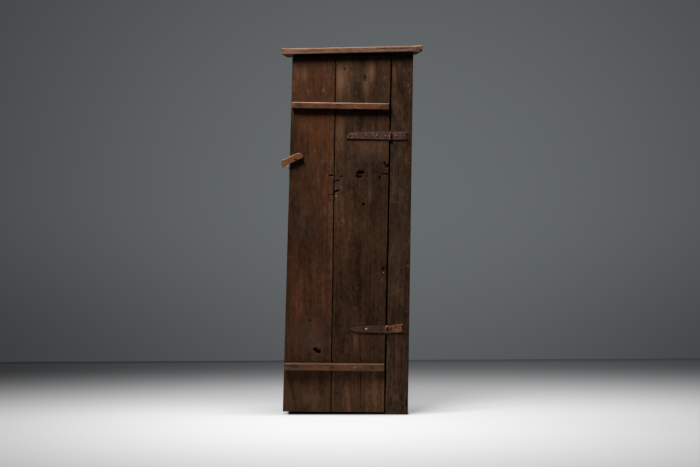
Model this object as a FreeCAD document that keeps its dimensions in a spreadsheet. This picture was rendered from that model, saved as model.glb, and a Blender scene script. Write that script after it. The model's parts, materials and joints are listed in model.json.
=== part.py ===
"""Rustic plank cupboard with one leaning door, two forged strap hinges and a wooden turn button.

Millimetres, +Z up, +X to the right and -Y towards the person who opens the door.
The origin is on the floor, under the middle of the overall box.
The whole cupboard has racked to the right, so every upright edge is a leaning line.
"""
import FreeCAD
import Part
import Sketcher
import os
import re

# Driving dimensions
SIZES = {
    # overall
    "overall_depth": 510.0,
    "under_top_z": 1621.8,
    "top_tilt_share": 0.02108,
    "edge_ease": 1.6,
    # top
    "top_length": 616.8,
    "top_right_reach": 312.6,
    "top_thickness": 28.0,
    "top_overhang": 28.0,
    "top_rear_overhang": 3.0,
    "top_front_board_share": 0.52,
    # leaning edges of the front, from right to left
    "hinge_line_foot_x": 152.7,
    "hinge_line_lean_share": 0.01638,
    "door_gap": 6.0,
    "stile_foot_width": 102.8,
    "case_right_lean_share": 0.0101,
    "right_board_foot_width": 242.0,
    "seam_lean_share": 0.0158,
    "seam_gap": 3.0,
    "left_board_foot_width": 216.7,
    "door_left_lean_share": 0.0322,
    "door_foot_overhang": 25.0,
    "case_left_lean_share": 0.0186,
    # door
    "door_thickness": 24.0,
    "door_rear_gap": 0.5,
    "door_head_gap": 10.0,
    "door_foot_left_z": 13.0,
    "door_foot_right_z": 9.5,
    "knothole_width": 34.0,
    "knothole_height": 18.0,
    "knothole_depth": 11.0,
    "knothole_from_seam": 114.0,
    "knothole_below_top": 527.8,
    # battens across the door
    "batten_end_inset": 3.0,
    "batten_hinge_inset": 4.0,
    "top_batten_thickness": 22.0,
    "top_batten_height": 27.5,
    "top_batten_below_top": 240.8,
    "top_batten_drop": 6.5,
    "top_batten_bevel": 7.0,
    "bottom_batten_thickness": 23.0,
    "bottom_batten_height": 31.0,
    "bottom_batten_above_floor": 208.5,
    "bottom_batten_drop": 4.0,
    # case
    "side_thickness": 22.0,
    "side_front_board_share": 0.48,
    "back_thickness": 18.0,
    "back_foot_z": 20.0,
    "rail_thickness": 20.0,
    "top_rail_height": 60.0,
    "bottom_rail_foot_z": 8.0,
    "shelf_thickness": 21.0,
    "shelf_end_gap": 1.0,
    "shelf_front_board_share": 0.55,
    "bottom_level_z": 60.0,
    "cleat_width": 24.0,
    "cleat_height": 30.0,
    # hinges
    "upper_hinge_below_top": 363.5,
    "lower_hinge_above_floor": 391.5,
    "hinge_iron": 4.0,
    "pin_radius": 3.0,
    "pin_clearance": 0.05,
    "pin_head_radius": 5.2,
    "pin_head_height": 2.6,
    "knuckle_gap": 0.4,
    "strap_knuckle_share": 0.36,
    "upper_strap_length": 194.0,
    "upper_strap_width": 33.0,
    "upper_leaf_length": 75.0,
    "upper_leaf_width": 34.0,
    "lower_strap_length": 164.0,
    "lower_strap_width": 33.0,
    "lower_leaf_length": 76.0,
    "lower_leaf_flare": 42.0,
    # turn button and its keeper
    "button_length": 103.0,
    "button_width": 31.4,
    "button_thickness": 18.0,
    "button_gap": 0.3,
    "button_pivot_inset": 26.6,
    "button_below_top": 464.8,
    "button_droop_angle": 25.0,
    "pivot_radius": 2.6,
    "pivot_clearance": 0.05,
    "pivot_head_radius": 5.5,
    "pivot_head_height": 2.4,
    "pivot_depth": 18.0,
    "keeper_bar": 4.0,
    "keeper_door_gap": 2.6,
    "keeper_drop": 44.0,
    "keeper_tip_height": 17.0,
    "keeper_tip_gap": 1.0,
    "keeper_set_back": 14.0,
    "keeper_driven_depth": 18.0,
    # forged nails
    "case_nail_head": 9.0,
    "case_nail_head_height": 2.0,
    "case_nail_shank": 3.4,
    "case_nail_length": 44.0,
    "batten_nail_head": 9.5,
    "batten_nail_head_height": 2.0,
    "batten_nail_shank": 3.4,
    "batten_nail_length": 40.0,
    "strap_nail_head": 11.0,
    "strap_nail_head_height": 2.6,
    "strap_nail_shank": 3.6,
    "strap_nail_length": 23.0,
    "nail_crown_share": 0.35,
    "nail_tip_share": 0.3,
}

# Places along a piece, as shares of the size that they follow
STILE_NAIL_SHARES = (0.035, 0.29, 0.52, 0.70, 0.965)
TOP_NAIL_SHARES = (0.16, 0.5, 0.84)
BOARD_NAIL_SHARES = (0.2, 0.8)
UPPER_STRAP_NAIL_SHARES = (0.91, 0.55, 0.30, 0.10)
LOWER_STRAP_NAIL_SHARES = (0.55, 0.17)
UPPER_LEAF_NAIL_SHARES = ((0.36, 0.02), (0.84, -0.06))
LOWER_LEAF_NAIL_SHARES = ((0.90, 0.40), (0.88, -0.13))
TOP_BATTEN_NAIL_SHARES = (0.076, 0.902)
BOTTOM_BATTEN_NAIL_SHARES = (0.105, 0.497, 0.71, 0.88)

# Outline of the hand-cut turn button about its pivot, as shares of its length and width
BUTTON_OUTLINE_SHARES = (
    (0.161, 0.666), (0.322, 0.436), (0.340, -0.102), (0.267, -0.344), (0.161, -0.261),
    (-0.279, -0.303), (-0.440, -0.255), (-0.655, -0.470), (-0.659, 0.076), (-0.632, 0.640),
)

# Ragged ends of the plain strap and of its stile leaf, as shares of their length and width
STRAP_END_SHARES = ((0.87, 0.47), (0.92, 0.24), (0.975, -0.10), (1.0, -0.46))
LEAF_END_SHARES = (
    (0.95, -0.48), (1.0, -0.24), (0.985, 0.02), (0.90, 0.16), (0.90, 0.26), (1.0, 0.38), (0.975, 0.62),
)

# Blunt spear point of the lower strap and flared end of its leaf, as shares of their length and width
SPEAR_SHARES = (
    (0.455, 0.42), (0.665, 0.34), (0.86, 0.21), (0.985, 0.02), (1.0, -0.14), (0.872, -0.38), (0.64, -0.485),
)
FLARE_END_SHARES = ((1.0, -0.30), (0.94, 0.04), (0.94, 0.22), (1.0, 0.68))

doc = FreeCAD.newDocument("RusticCupboard")
sheet = doc.addObject("Spreadsheet::Sheet", "Sizes")
for row, (alias, number) in enumerate(SIZES.items(), start=1):
    sheet.set(f"A{row}", alias)
    sheet.set(f"B{row}", str(number))
    sheet.setAlias(f"B{row}", alias)
doc.recompute()

WORD = re.compile(r"\b[a-z][a-z_]*\b")
parts = []


def sized(text):
    """Give an expression in which each named size is read from the sheet."""
    return WORD.sub(lambda word: f"Sizes.{word[0]}" if word[0] in SIZES else word[0], str(text))


def measure(text):
    """Work out an expression in named sizes as a number."""
    return float(sheet.evalExpression(sized(text)))


def keep(piece, label):
    """Label a finished piece and put it on the list of sub-parts."""
    piece.Label = label
    parts.append(piece)
    return piece


class Edge:
    """An upright edge that leans sideways: its place at the floor and its run per unit of height."""

    def __init__(self, foot, lean):
        self.foot = foot
        self.lean = lean

    def at(self, height):
        """Sideways place of the edge at a height."""
        return f"({self.foot} + {self.lean} * ({height}))"

    def moved(self, distance):
        """A parallel edge at a sideways distance."""
        return Edge(f"({self.foot} + ({distance}))", self.lean)

    def towards(self, other, share):
        """An edge part of the way to another."""
        foot = f"({self.foot} + {share} * ({other.foot} - {self.foot}))"
        lean = f"({self.lean} + {share} * ({other.lean} - {self.lean}))"
        return Edge(foot, lean)

    def corner(self, height):
        """The edge's point at a height."""
        return self.at(height), height

    def under_top(self, drop="0"):
        """The edge's point at the sloping underside of the top, less a drop."""
        height = (f"((under_top_z - ({drop}) + top_tilt_share * {self.foot})"
                  f" / (1 - top_tilt_share * {self.lean}))")
        return self.at(height), height


# Leaning edges, each worked out from the one beside it
HINGE_LINE = Edge("hinge_line_foot_x", "hinge_line_lean_share")
DOOR_RIGHT = HINGE_LINE.moved("-door_gap / 2")
STILE_LEFT = HINGE_LINE.moved("door_gap / 2")
CASE_RIGHT = Edge(f"({STILE_LEFT.foot} + stile_foot_width)", "case_right_lean_share")
RIGHT_INNER = CASE_RIGHT.moved("-side_thickness")
SEAM = Edge(f"({DOOR_RIGHT.foot} - right_board_foot_width)", "seam_lean_share")
DOOR_LEFT = Edge(f"({SEAM.foot} - left_board_foot_width)", "door_left_lean_share")
CASE_LEFT = Edge(f"({DOOR_LEFT.foot} + door_foot_overhang)", "case_left_lean_share")
LEFT_INNER = CASE_LEFT.moved("side_thickness")

# Planes from front to back
TOP_FRONT = "(-overall_depth / 2)"
DOOR_FACE = f"({TOP_FRONT} + top_overhang)"
CASE_FRONT = f"({DOOR_FACE} + door_thickness + door_rear_gap)"
BACK_REAR = "(overall_depth / 2 - top_rear_overhang)"
BACK_FRONT = f"({BACK_REAR} - back_thickness)"
SIDE_DEPTH = f"({BACK_FRONT} - {CASE_FRONT})"
SHELF_FRONT = f"({CASE_FRONT} + rail_thickness)"
SHELF_DEPTH = f"({BACK_FRONT} - {SHELF_FRONT})"

# Heights, from the floor or from the top
LEVELS = ("bottom", "lower", "middle", "upper")
LEVEL_HEIGHTS = {
    level: f"(bottom_level_z + (under_top_z - bottom_level_z) * {order} / {len(LEVELS)})"
    for order, level in enumerate(LEVELS)
}
UPPER_HINGE = "(under_top_z - upper_hinge_below_top)"
LOWER_HINGE = "lower_hinge_above_floor"
BUTTON_PIVOT = "(under_top_z - button_below_top)"
BATTEN_FEET = {
    "top_batten": "(under_top_z - top_batten_below_top)",
    "bottom_batten": "bottom_batten_above_floor",
}

KNUCKLE_RADIUS = "(pin_radius + pin_clearance + hinge_iron)"
KNUCKLE_BORE = "(pin_radius + pin_clearance)"


def new_body(label):
    """Start a body for one sub-part."""
    return keep(doc.addObject("PartDesign::Body", label), label)


def place(piece, x="0", y="0", z="0", turn=None, axis=(0, 0, 1)):
    """Bind a piece's place, and its turn about an axis, to the sheet."""
    if turn is not None:
        piece.Placement = FreeCAD.Placement(FreeCAD.Vector(), FreeCAD.Rotation(FreeCAD.Vector(*axis), 1))
        piece.setExpression("Placement.Rotation.Angle", sized(turn))
    for name, text in zip("xyz", (x, y, z)):
        piece.setExpression(f"Placement.Base.{name}", sized(text))


def new_sketch(body, name, plane, lift="0"):
    """Start a sketch on one of the body's own planes, lifted along the plane's normal."""
    sketch = body.newObject("Sketcher::SketchObject", f"{body.Name}_{name}")
    support = next(item for item in body.Origin.OriginFeatures if item.Role == plane)
    sketch.AttachmentSupport = [(support, "")]
    sketch.MapMode = "FlatFace"
    sketch.setExpression("AttachmentOffset.Base.z", sized(lift))
    return sketch


def draw_outline(sketch, corners):
    """Draw a closed outline whose corners are bound to expressions."""
    points = [FreeCAD.Vector(measure(x), measure(y), 0) for x, y in corners]
    count = len(points)
    for index in range(count):
        sketch.addGeometry(Part.LineSegment(points[index], points[(index + 1) % count]))
    for index in range(count):
        sketch.addConstraint(Sketcher.Constraint("Coincident", index, 2, (index + 1) % count, 1))
    for index, (corner, point) in enumerate(zip(corners, points)):
        for kind, letter, text, number in zip(("DistanceX", "DistanceY"), "xy", corner, point):
            order = sketch.addConstraint(Sketcher.Constraint(kind, index, 1, number))
            sketch.renameConstraint(order, f"{letter}{index}")
            sketch.setExpression(f"Constraints.{letter}{index}", sized(text))


def draw_circle(sketch, radius, name):
    """Draw a circle about the sketch's origin."""
    circle = Part.Circle(FreeCAD.Vector(), FreeCAD.Vector(0, 0, 1), measure(radius))
    index = sketch.addGeometry(circle)
    sketch.addConstraint(Sketcher.Constraint("Coincident", index, 3, -1, 1))
    order = sketch.addConstraint(Sketcher.Constraint("Radius", index, measure(radius)))
    sketch.renameConstraint(order, name)
    sketch.setExpression(f"Constraints.{name}", sized(radius))


def pad(body, sketch, length, backwards=False):
    """Pad a sketch along its plane's normal, or the other way."""
    feature = body.newObject("PartDesign::Pad", f"{sketch.Name}_pad")
    feature.Profile = sketch
    feature.setExpression("Length", sized(length))
    feature.Reversed = backwards
    doc.recompute()
    return feature


def chamfer(body, base, size, edges=None):
    """Take the corner off the named edges, or off all of them."""
    feature = body.newObject("PartDesign::Chamfer", f"{base.Name}_chamfer")
    feature.Base = (base, edges or [""])
    feature.UseAllEdges = edges is None
    feature.setExpression("Size", sized(size))
    doc.recompute()
    return feature


def board(label, corners, front, depth):
    """A sawn board: its outline seen from the front, padded towards the back, with eased edges."""
    body = new_body(label)
    outline = new_sketch(body, "outline", "XZ_Plane")
    draw_outline(outline, corners)
    chamfer(body, pad(body, outline, depth, backwards=True), "edge_ease")
    place(body, y=front)
    return body


def upright(label, left, right, foot, front, depth, drop="0"):
    """A standing board between two leaning edges, from a foot to the underside of the top."""
    corners = (left.corner(foot), right.corner(foot), right.under_top(drop), left.under_top(drop))
    return board(label, corners, front, depth)


def level_board(label, left, right, low, high, front, depth):
    """A lying board between two leaning edges."""
    corners = (left.corner(low), right.corner(low), right.corner(high), left.corner(high))
    return board(label, corners, front, depth)


def build_case():
    """Sides, stile, top, back and rails."""
    front_depth = f"({SIDE_DEPTH} * side_front_board_share)"
    for side, outer, inner in (("left", CASE_LEFT, LEFT_INNER), ("right", RIGHT_INNER, CASE_RIGHT)):
        upright(f"{side}_side_front_board", outer, inner, "0", CASE_FRONT, front_depth)
        upright(f"{side}_side_rear_board", outer, inner, "0",
                f"{CASE_FRONT} + {front_depth}", f"{SIDE_DEPTH} - {front_depth}")

    upright("front_stile", STILE_LEFT, CASE_RIGHT, "0", DOOR_FACE, "door_thickness + door_rear_gap")

    left_x = "(top_right_reach - top_length)"
    left_z = f"(under_top_z + top_tilt_share * {left_x})"
    right_z = "(under_top_z + top_tilt_share * top_right_reach)"
    top_corners = (
        (left_x, left_z), ("top_right_reach", right_z),
        ("top_right_reach", f"{right_z} + top_thickness"), (left_x, f"{left_z} + top_thickness"),
    )
    top_front_depth = "(overall_depth * top_front_board_share)"
    board("top_front_board", top_corners, TOP_FRONT, top_front_depth)
    board("top_rear_board", top_corners, f"{TOP_FRONT} + {top_front_depth}",
          f"overall_depth - {top_front_depth}")

    names = ("left", "middle", "right")
    joints = [CASE_LEFT.towards(CASE_RIGHT, f"{step} / {len(names)}") for step in range(len(names) + 1)]
    for name, left, right in zip(names, joints, joints[1:]):
        upright(f"back_{name}_board", left, right, "back_foot_z", BACK_FRONT, "back_thickness")

    rail_corners = (
        LEFT_INNER.under_top("top_rail_height"), RIGHT_INNER.under_top("top_rail_height"),
        RIGHT_INNER.under_top(), LEFT_INNER.under_top(),
    )
    board("top_front_rail", rail_corners, CASE_FRONT, "rail_thickness")
    level_board("bottom_front_rail", LEFT_INNER, RIGHT_INNER, "bottom_rail_foot_z",
                "bottom_level_z + shelf_thickness", CASE_FRONT, "rail_thickness")


def build_shelves():
    """The bottom and three shelves, each of two boards on a pair of cleats."""
    left = LEFT_INNER.moved("shelf_end_gap")
    right = RIGHT_INNER.moved("-shelf_end_gap")
    front_depth = f"({SHELF_DEPTH} * shelf_front_board_share)"
    for level, low in LEVEL_HEIGHTS.items():
        high = f"({low} + shelf_thickness)"
        name = level if level == "bottom" else f"{level}_shelf"
        level_board(f"{name}_front_board", left, right, low, high, SHELF_FRONT, front_depth)
        level_board(f"{name}_rear_board", left, right, low, high,
                    f"{SHELF_FRONT} + {front_depth}", f"{SHELF_DEPTH} - {front_depth}")
        foot = f"({low} - cleat_height)"
        level_board(f"{level}_left_cleat", LEFT_INNER, LEFT_INNER.moved("cleat_width"),
                    foot, low, SHELF_FRONT, SHELF_DEPTH)
        level_board(f"{level}_right_cleat", RIGHT_INNER.moved("-cleat_width"), RIGHT_INNER,
                    foot, low, SHELF_FRONT, SHELF_DEPTH)


BATTEN_LEFT = DOOR_LEFT.moved("batten_end_inset")
BATTEN_RIGHT = DOOR_RIGHT.moved("-batten_hinge_inset")


def batten(name):
    """A board nailed level across the door, a little lower at its right end."""
    low = BATTEN_FEET[name]
    high = f"({low} + {name}_height)"
    corners = (
        BATTEN_LEFT.corner(low), BATTEN_RIGHT.corner(f"({low} - {name}_drop)"),
        BATTEN_RIGHT.corner(f"({high} - {name}_drop)"), BATTEN_LEFT.corner(high),
    )
    body = new_body(name)
    outline = new_sketch(body, "outline", "XZ_Plane")
    draw_outline(outline, corners)
    solid = pad(body, outline, f"{name}_thickness", backwards=True)
    place(body, y=f"{DOOR_FACE} - {name}_thickness")
    return body, solid


def top_front_edge(feature):
    """Name of the long upper edge at the front of a padded board."""
    box = feature.Shape.BoundBox
    lying = [
        (edge.CenterOfMass.z, order) for order, edge in enumerate(feature.Shape.Edges, start=1)
        if edge.BoundBox.YMax < box.Center.y and edge.Length > box.XLength / 2
    ]
    return f"Edge{max(lying)[1]}"


def cut_knothole(plank, edge):
    """The bowl that a lost knot has left in the right board's face."""
    height = "(under_top_z - knothole_below_top)"
    bowl = plank.newObject("PartDesign::SubtractiveEllipsoid", "knothole")
    bowl.setExpression("Radius1", sized("knothole_height / 2"))
    bowl.setExpression("Radius2", sized("knothole_width / 2"))
    bowl.setExpression("Radius3", sized("knothole_depth"))
    place(bowl, x=f"{edge.at(height)} + knothole_from_seam", z=height)
    doc.recompute()


def build_door():
    """Two wide boards and the two battens that hold them together."""
    slope = f"((door_foot_right_z - door_foot_left_z) / ({DOOR_RIGHT.foot} - {DOOR_LEFT.foot}))"
    seam_right = SEAM.moved("seam_gap")

    def foot(edge):
        height = f"(door_foot_left_z + {slope} * ({edge.foot} - {DOOR_LEFT.foot}))"
        return edge.corner(height)

    for name, left, right in (("left", DOOR_LEFT, SEAM), ("right", seam_right, DOOR_RIGHT)):
        corners = (foot(left), foot(right), right.under_top("door_head_gap"), left.under_top("door_head_gap"))
        plank = board(f"door_{name}_board", corners, DOOR_FACE, "door_thickness")
    cut_knothole(plank, seam_right)

    body, solid = batten("top_batten")
    chamfer(body, solid, "top_batten_bevel", [top_front_edge(solid)])
    body, solid = batten("bottom_batten")
    chamfer(body, solid, "edge_ease")


def hinge_plate(label, outline, barrels, height):
    """A forged leaf: a flat plate seen from the front, rolled into barrels about the hinge pin."""
    body = new_body(label)
    front = new_sketch(body, "plate", "XZ_Plane", f"-({KNUCKLE_RADIUS} - hinge_iron)")
    draw_outline(front, outline)
    pad(body, front, "hinge_iron", backwards=True)
    for order, (low, high) in enumerate(barrels):
        ring = new_sketch(body, f"barrel_{order}", "XY_Plane", low)
        draw_circle(ring, KNUCKLE_RADIUS, "outer")
        draw_circle(ring, KNUCKLE_BORE, "bore")
        pad(body, ring, f"{high} - ({low})")
    place_on_hinge(body, height)
    return body


def place_on_hinge(piece, height):
    """Put a piece on the leaning hinge line, turned to lean with it."""
    place(piece, HINGE_LINE.at(height), f"{DOOR_FACE} - {KNUCKLE_RADIUS}", height,
          "atan(hinge_line_lean_share)", (0, 1, 0))


def strap_knuckle(width):
    """Half the height of the strap's own barrel."""
    return f"({width} * strap_knuckle_share / 2)"


def strap_root(width):
    """Outline of a strap from its lower shoulder to its upper one, round the barrel's tongue."""
    back = f"-({KNUCKLE_RADIUS} + knuckle_gap)"
    half = strap_knuckle(width)
    return (
        (back, f"-{width} / 2"), (back, f"-{half}"), ("0", f"-{half}"),
        ("0", half), (back, half), (back, f"{width} / 2"),
    )


def leaf_root(width, strap_width):
    """Outline of a stile leaf, level beside its upper and its lower barrel."""
    back = f"({KNUCKLE_RADIUS} + knuckle_gap)"
    half = f"({strap_knuckle(strap_width)} + knuckle_gap)"
    level = f"(2 * {KNUCKLE_RADIUS})"
    return (
        (level, f"{width} / 2"), ("0", f"{width} / 2"), ("0", half), (back, half),
        (back, f"-{half}"), ("0", f"-{half}"), ("0", f"-{width} / 2"), (level, f"-{width} / 2"),
    )


def leaf_barrels(width, strap_width):
    """The two barrels of a stile leaf, above and below the strap's own."""
    half = f"({strap_knuckle(strap_width)} + knuckle_gap)"
    return ((half, f"{width} / 2"), (f"-{width} / 2", f"-{half}"))


def hinge_pin(label, width, height):
    """A round pin with both ends peened over the barrels."""
    body = new_body(label)
    half = f"({width} / 2)"
    end = f"({half} + pin_head_height)"
    crown = "(pin_head_radius - pin_head_height / 2)"
    profile = new_sketch(body, "profile", "XZ_Plane")
    draw_outline(profile, (
        ("0", f"-{end}"), (crown, f"-{end}"), ("pin_head_radius", f"-{half}"), ("pin_radius", f"-{half}"),
        ("pin_radius", half), ("pin_head_radius", half), (crown, end), ("0", end),
    ))
    turned = body.newObject("PartDesign::Revolution", f"{label}_turned")
    turned.Profile = profile
    turned.ReferenceAxis = (profile, ["V_Axis"])
    place_on_hinge(body, height)
    return body


def build_hinges():
    """A plain strap hinge above and a spear-pointed one below, on one leaning line."""
    width, leaf = "upper_strap_width", "upper_leaf_width"
    reach = "upper_strap_length"
    end = [(f"-{reach} * {x}", f"{width} * {z}") for x, z in STRAP_END_SHARES]
    knuckle = strap_knuckle(width)
    hinge_plate("upper_hinge_strap", list(strap_root(width)) + end,
                [(f"-{knuckle}", knuckle)], UPPER_HINGE)
    end = [(f"upper_leaf_length * {x}", f"{leaf} * {z}") for x, z in LEAF_END_SHARES]
    hinge_plate("upper_hinge_stile_leaf", list(leaf_root(leaf, width)) + end,
                leaf_barrels(leaf, width), UPPER_HINGE)
    hinge_pin("upper_hinge_pin", leaf, UPPER_HINGE)

    width = "lower_strap_width"
    knuckle = strap_knuckle(width)
    spear = [(f"-lower_strap_length * {x}", f"{width} * {z}") for x, z in SPEAR_SHARES]
    hinge_plate("lower_hinge_strap", list(strap_root(width)) + spear,
                [(f"-{knuckle}", knuckle)], LOWER_HINGE)
    flare = [(f"lower_leaf_length * {x}", f"lower_leaf_flare * {z}") for x, z in FLARE_END_SHARES]
    hinge_plate("lower_hinge_stile_leaf", list(leaf_root(width, width)) + flare,
                leaf_barrels(width, width), LOWER_HINGE)
    hinge_pin("lower_hinge_pin", width, LOWER_HINGE)


PIVOT_X = f"({DOOR_LEFT.at(BUTTON_PIVOT)} + button_pivot_inset)"


def build_turn_button():
    """The hand-cut wooden button, the nail that it turns on and the hook that keeps it."""
    body = new_body("turn_button")
    outline = new_sketch(body, "outline", "XZ_Plane")
    draw_outline(outline, [(f"button_length * {x}", f"button_width * {z}") for x, z in BUTTON_OUTLINE_SHARES])
    draw_circle(outline, "pivot_radius + pivot_clearance", "bore")
    chamfer(body, pad(body, outline, "button_thickness", backwards=True), "edge_ease")
    place(body, PIVOT_X, f"{DOOR_FACE} - button_gap - button_thickness", BUTTON_PIVOT,
          "-button_droop_angle", (0, 1, 0))

    nail = new_body("button_pivot_nail")
    profile = new_sketch(nail, "profile", "XY_Plane")
    crown = "(pivot_head_radius - pivot_head_height / 2)"
    head = f"({DOOR_FACE} - 2 * button_gap - button_thickness)"
    tip = f"({DOOR_FACE} + pivot_depth)"
    draw_outline(profile, (
        ("0", f"{head} - pivot_head_height"), (crown, f"{head} - pivot_head_height"),
        ("pivot_head_radius", head), ("pivot_radius", head),
        ("pivot_radius", f"{tip} - pivot_radius"), ("0", tip),
    ))
    turned = nail.newObject("PartDesign::Revolution", "button_pivot_nail_turned")
    turned.Profile = profile
    turned.ReferenceAxis = (profile, ["V_Axis"])
    place(nail, x=PIVOT_X, z=BUTTON_PIVOT)

    hook = new_body("latch_keeper")
    height = f"({BUTTON_PIVOT} - keeper_drop)"
    right = f"({DOOR_LEFT.at(height)} - keeper_door_gap)"
    left = f"({right} - keeper_bar)"
    rear = f"({CASE_FRONT} + keeper_set_back)"
    tip = f"({DOOR_FACE} - button_gap - button_thickness - keeper_tip_gap)"
    driven = f"({CASE_LEFT.at(height)} + keeper_driven_depth)"
    bent_bar = new_sketch(hook, "bent_bar", "XY_Plane")
    draw_outline(bent_bar, (
        (left, f"{tip} - keeper_bar"), (right, f"{tip} - keeper_bar"), (right, f"{rear} - keeper_bar"),
        (driven, f"{rear} - keeper_bar"), (driven, rear), (left, rear),
    ))
    pad(hook, bent_bar, "keeper_bar")
    point = new_sketch(hook, "tip", "XY_Plane")
    draw_outline(point, (
        (left, f"{tip} - keeper_bar"), (right, f"{tip} - keeper_bar"), (right, tip), (left, tip),
    ))
    pad(hook, point, "keeper_tip_height")
    place(hook, z=height)


def forged_nail(kind):
    """A square forged nail along +Y, with a low pyramid for a head, as a pattern to copy."""
    head = doc.addObject("Part::Wedge", f"{kind}_head")
    shank = doc.addObject("Part::Wedge", f"{kind}_shank")
    half_head = f"{kind}_head / 2"
    half_shank = f"{kind}_shank / 2"
    frusta = (
        (head, f"-{kind}_head_height", "0", f"({half_head} * nail_crown_share)", f"({half_head})"),
        (shank, "0", f"{kind}_length", f"({half_shank})", f"({half_shank} * nail_tip_share)"),
    )
    for frustum, start, stop, first, second in frusta:
        bounds = {"Ymin": start, "Ymax": stop, "Xmin": f"-{first}", "Xmax": first, "Zmin": f"-{first}",
                  "Zmax": first, "X2min": f"-{second}", "X2max": second, "Z2min": f"-{second}", "Z2max": second}
        for name, text in bounds.items():
            frustum.setExpression(name, sized(text))
    nail = doc.addObject("Part::Fuse", f"{kind}_pattern")
    nail.Base = head
    nail.Tool = shank
    doc.recompute()
    return nail


def nail_group(label, pattern, places, turn=None, axis=(0, 0, 1)):
    """Copies of one nail at a list of places, as one group."""
    copies = []
    for order, (x, y, z) in enumerate(places):
        copy = doc.addObject("App::Link", f"{label}_{order}")
        copy.setLink(pattern)
        place(copy, x, y, z, turn, axis)
        copies.append(copy)
    group = doc.addObject("Part::Compound", label)
    group.Links = copies
    return keep(group, label)


def build_case_nails():
    """Nails of the stile, the top, the back and both sides."""
    nail = forged_nail("case_nail")
    edge = CASE_RIGHT.moved("-side_thickness / 2")
    heights = [f"(under_top_z * {share})" for share in STILE_NAIL_SHARES]
    nail_group("stile_nails", nail, [(edge.at(z), DOOR_FACE, z) for z in heights])

    spots = []
    for side in (CASE_LEFT.moved("side_thickness / 2"), edge):
        x = side.under_top()[0]
        for share in TOP_NAIL_SHARES:
            z = f"under_top_z + top_tilt_share * {x} + top_thickness"
            spots.append((x, f"{CASE_FRONT} + {SIDE_DEPTH} * {share}", z))
    nail_group("top_nails", nail, spots, "-90", (1, 0, 0))

    levels = [f"({height} + shelf_thickness / 2)" for height in LEVEL_HEIGHTS.values()]
    board_count = 3
    spots = []
    for order in range(board_count):
        for share in BOARD_NAIL_SHARES:
            edge = CASE_LEFT.towards(CASE_RIGHT, f"({order + share} / {board_count})")
            spots += [(edge.at(z), BACK_REAR, z) for z in levels]
    nail_group("back_nails", nail, spots, "180")

    cleats = [f"({height} - cleat_height / 2)" for height in LEVEL_HEIGHTS.values()]
    front_depth = f"({SIDE_DEPTH} * side_front_board_share)"
    rear_depth = f"({SIDE_DEPTH} - {front_depth})"
    rows = [f"{CASE_FRONT} + {front_depth} * {share}" for share in BOARD_NAIL_SHARES]
    rows += [f"{CASE_FRONT} + {front_depth} + {rear_depth} * {share}" for share in BOARD_NAIL_SHARES]
    for side, face, turn in (("left", CASE_LEFT, "-90"), ("right", CASE_RIGHT, "90")):
        nail_group(f"{side}_side_nails", nail, [(face.at(z), y, z) for z in cleats for y in rows], turn)


def build_door_nails():
    """Nails of the battens, of the straps and of the stile leaves."""
    nail = forged_nail("batten_nail")
    spots = []
    for name, shares in (("top_batten", TOP_BATTEN_NAIL_SHARES), ("bottom_batten", BOTTOM_BATTEN_NAIL_SHARES)):
        for share in shares:
            z = f"({BATTEN_FEET[name]} + {name}_height / 2 - {name}_drop * {share})"
            x = BATTEN_LEFT.towards(BATTEN_RIGHT, share).at(z)
            spots.append((x, f"{DOOR_FACE} - {name}_thickness", z))
    nail_group("batten_nails", nail, spots)

    nail = forged_nail("strap_nail")
    iron_face = f"{DOOR_FACE} - hinge_iron"

    def on_leaf(hinge, along, above):
        """Place on a leaf, from its run along the leaf and its height above the middle."""
        z = f"({hinge} + ({above}) - hinge_line_lean_share * ({along}))"
        x = f"{HINGE_LINE.at(hinge)} + ({along}) + hinge_line_lean_share * ({above})"
        return x, iron_face, z

    spots = [on_leaf(UPPER_HINGE, f"-upper_strap_length * {share}", "0") for share in UPPER_STRAP_NAIL_SHARES]
    spots += [on_leaf(LOWER_HINGE, f"-lower_strap_length * {share}", "0") for share in LOWER_STRAP_NAIL_SHARES]
    nail_group("strap_nails", nail, spots)

    spots = [on_leaf(UPPER_HINGE, f"upper_leaf_length * {along}", f"upper_leaf_width * {above}")
             for along, above in UPPER_LEAF_NAIL_SHARES]
    spots += [on_leaf(LOWER_HINGE, f"lower_leaf_length * {along}", f"lower_leaf_flare * {above}")
              for along, above in LOWER_LEAF_NAIL_SHARES]
    nail_group("stile_leaf_nails", nail, spots)


def check_document():
    """Stop if any object failed or any sub-part has no valid solid."""
    doc.recompute()
    failed = [item.Name for item in doc.Objects if {"Invalid", "Error"} & set(item.State)]
    if failed:
        raise RuntimeError(f"failed objects: {failed}")
    for piece in parts:
        if piece.Shape.isNull() or not piece.Shape.isValid() or piece.Shape.Volume <= 0:
            raise RuntimeError(f"no valid solid: {piece.Label}")


build_case()
build_shelves()
build_door()
build_hinges()
build_turn_button()
build_case_nails()
build_door_nails()
check_document()

os.makedirs("parts", exist_ok=True)
for piece in parts:
    piece.Shape.exportStep(f"parts/{piece.Label}.step")
print(f"{len(parts)} sub-parts written")
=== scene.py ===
"""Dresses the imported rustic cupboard: worn boards, forged iron and a plain studio."""

import json
import math
import random
from collections import namedtuple
from contextlib import contextmanager

import bmesh
import bpy
import numpy as np
from bpy.props import FloatProperty, FloatVectorProperty, PointerProperty
from mathutils import Matrix, Vector, noise

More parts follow.
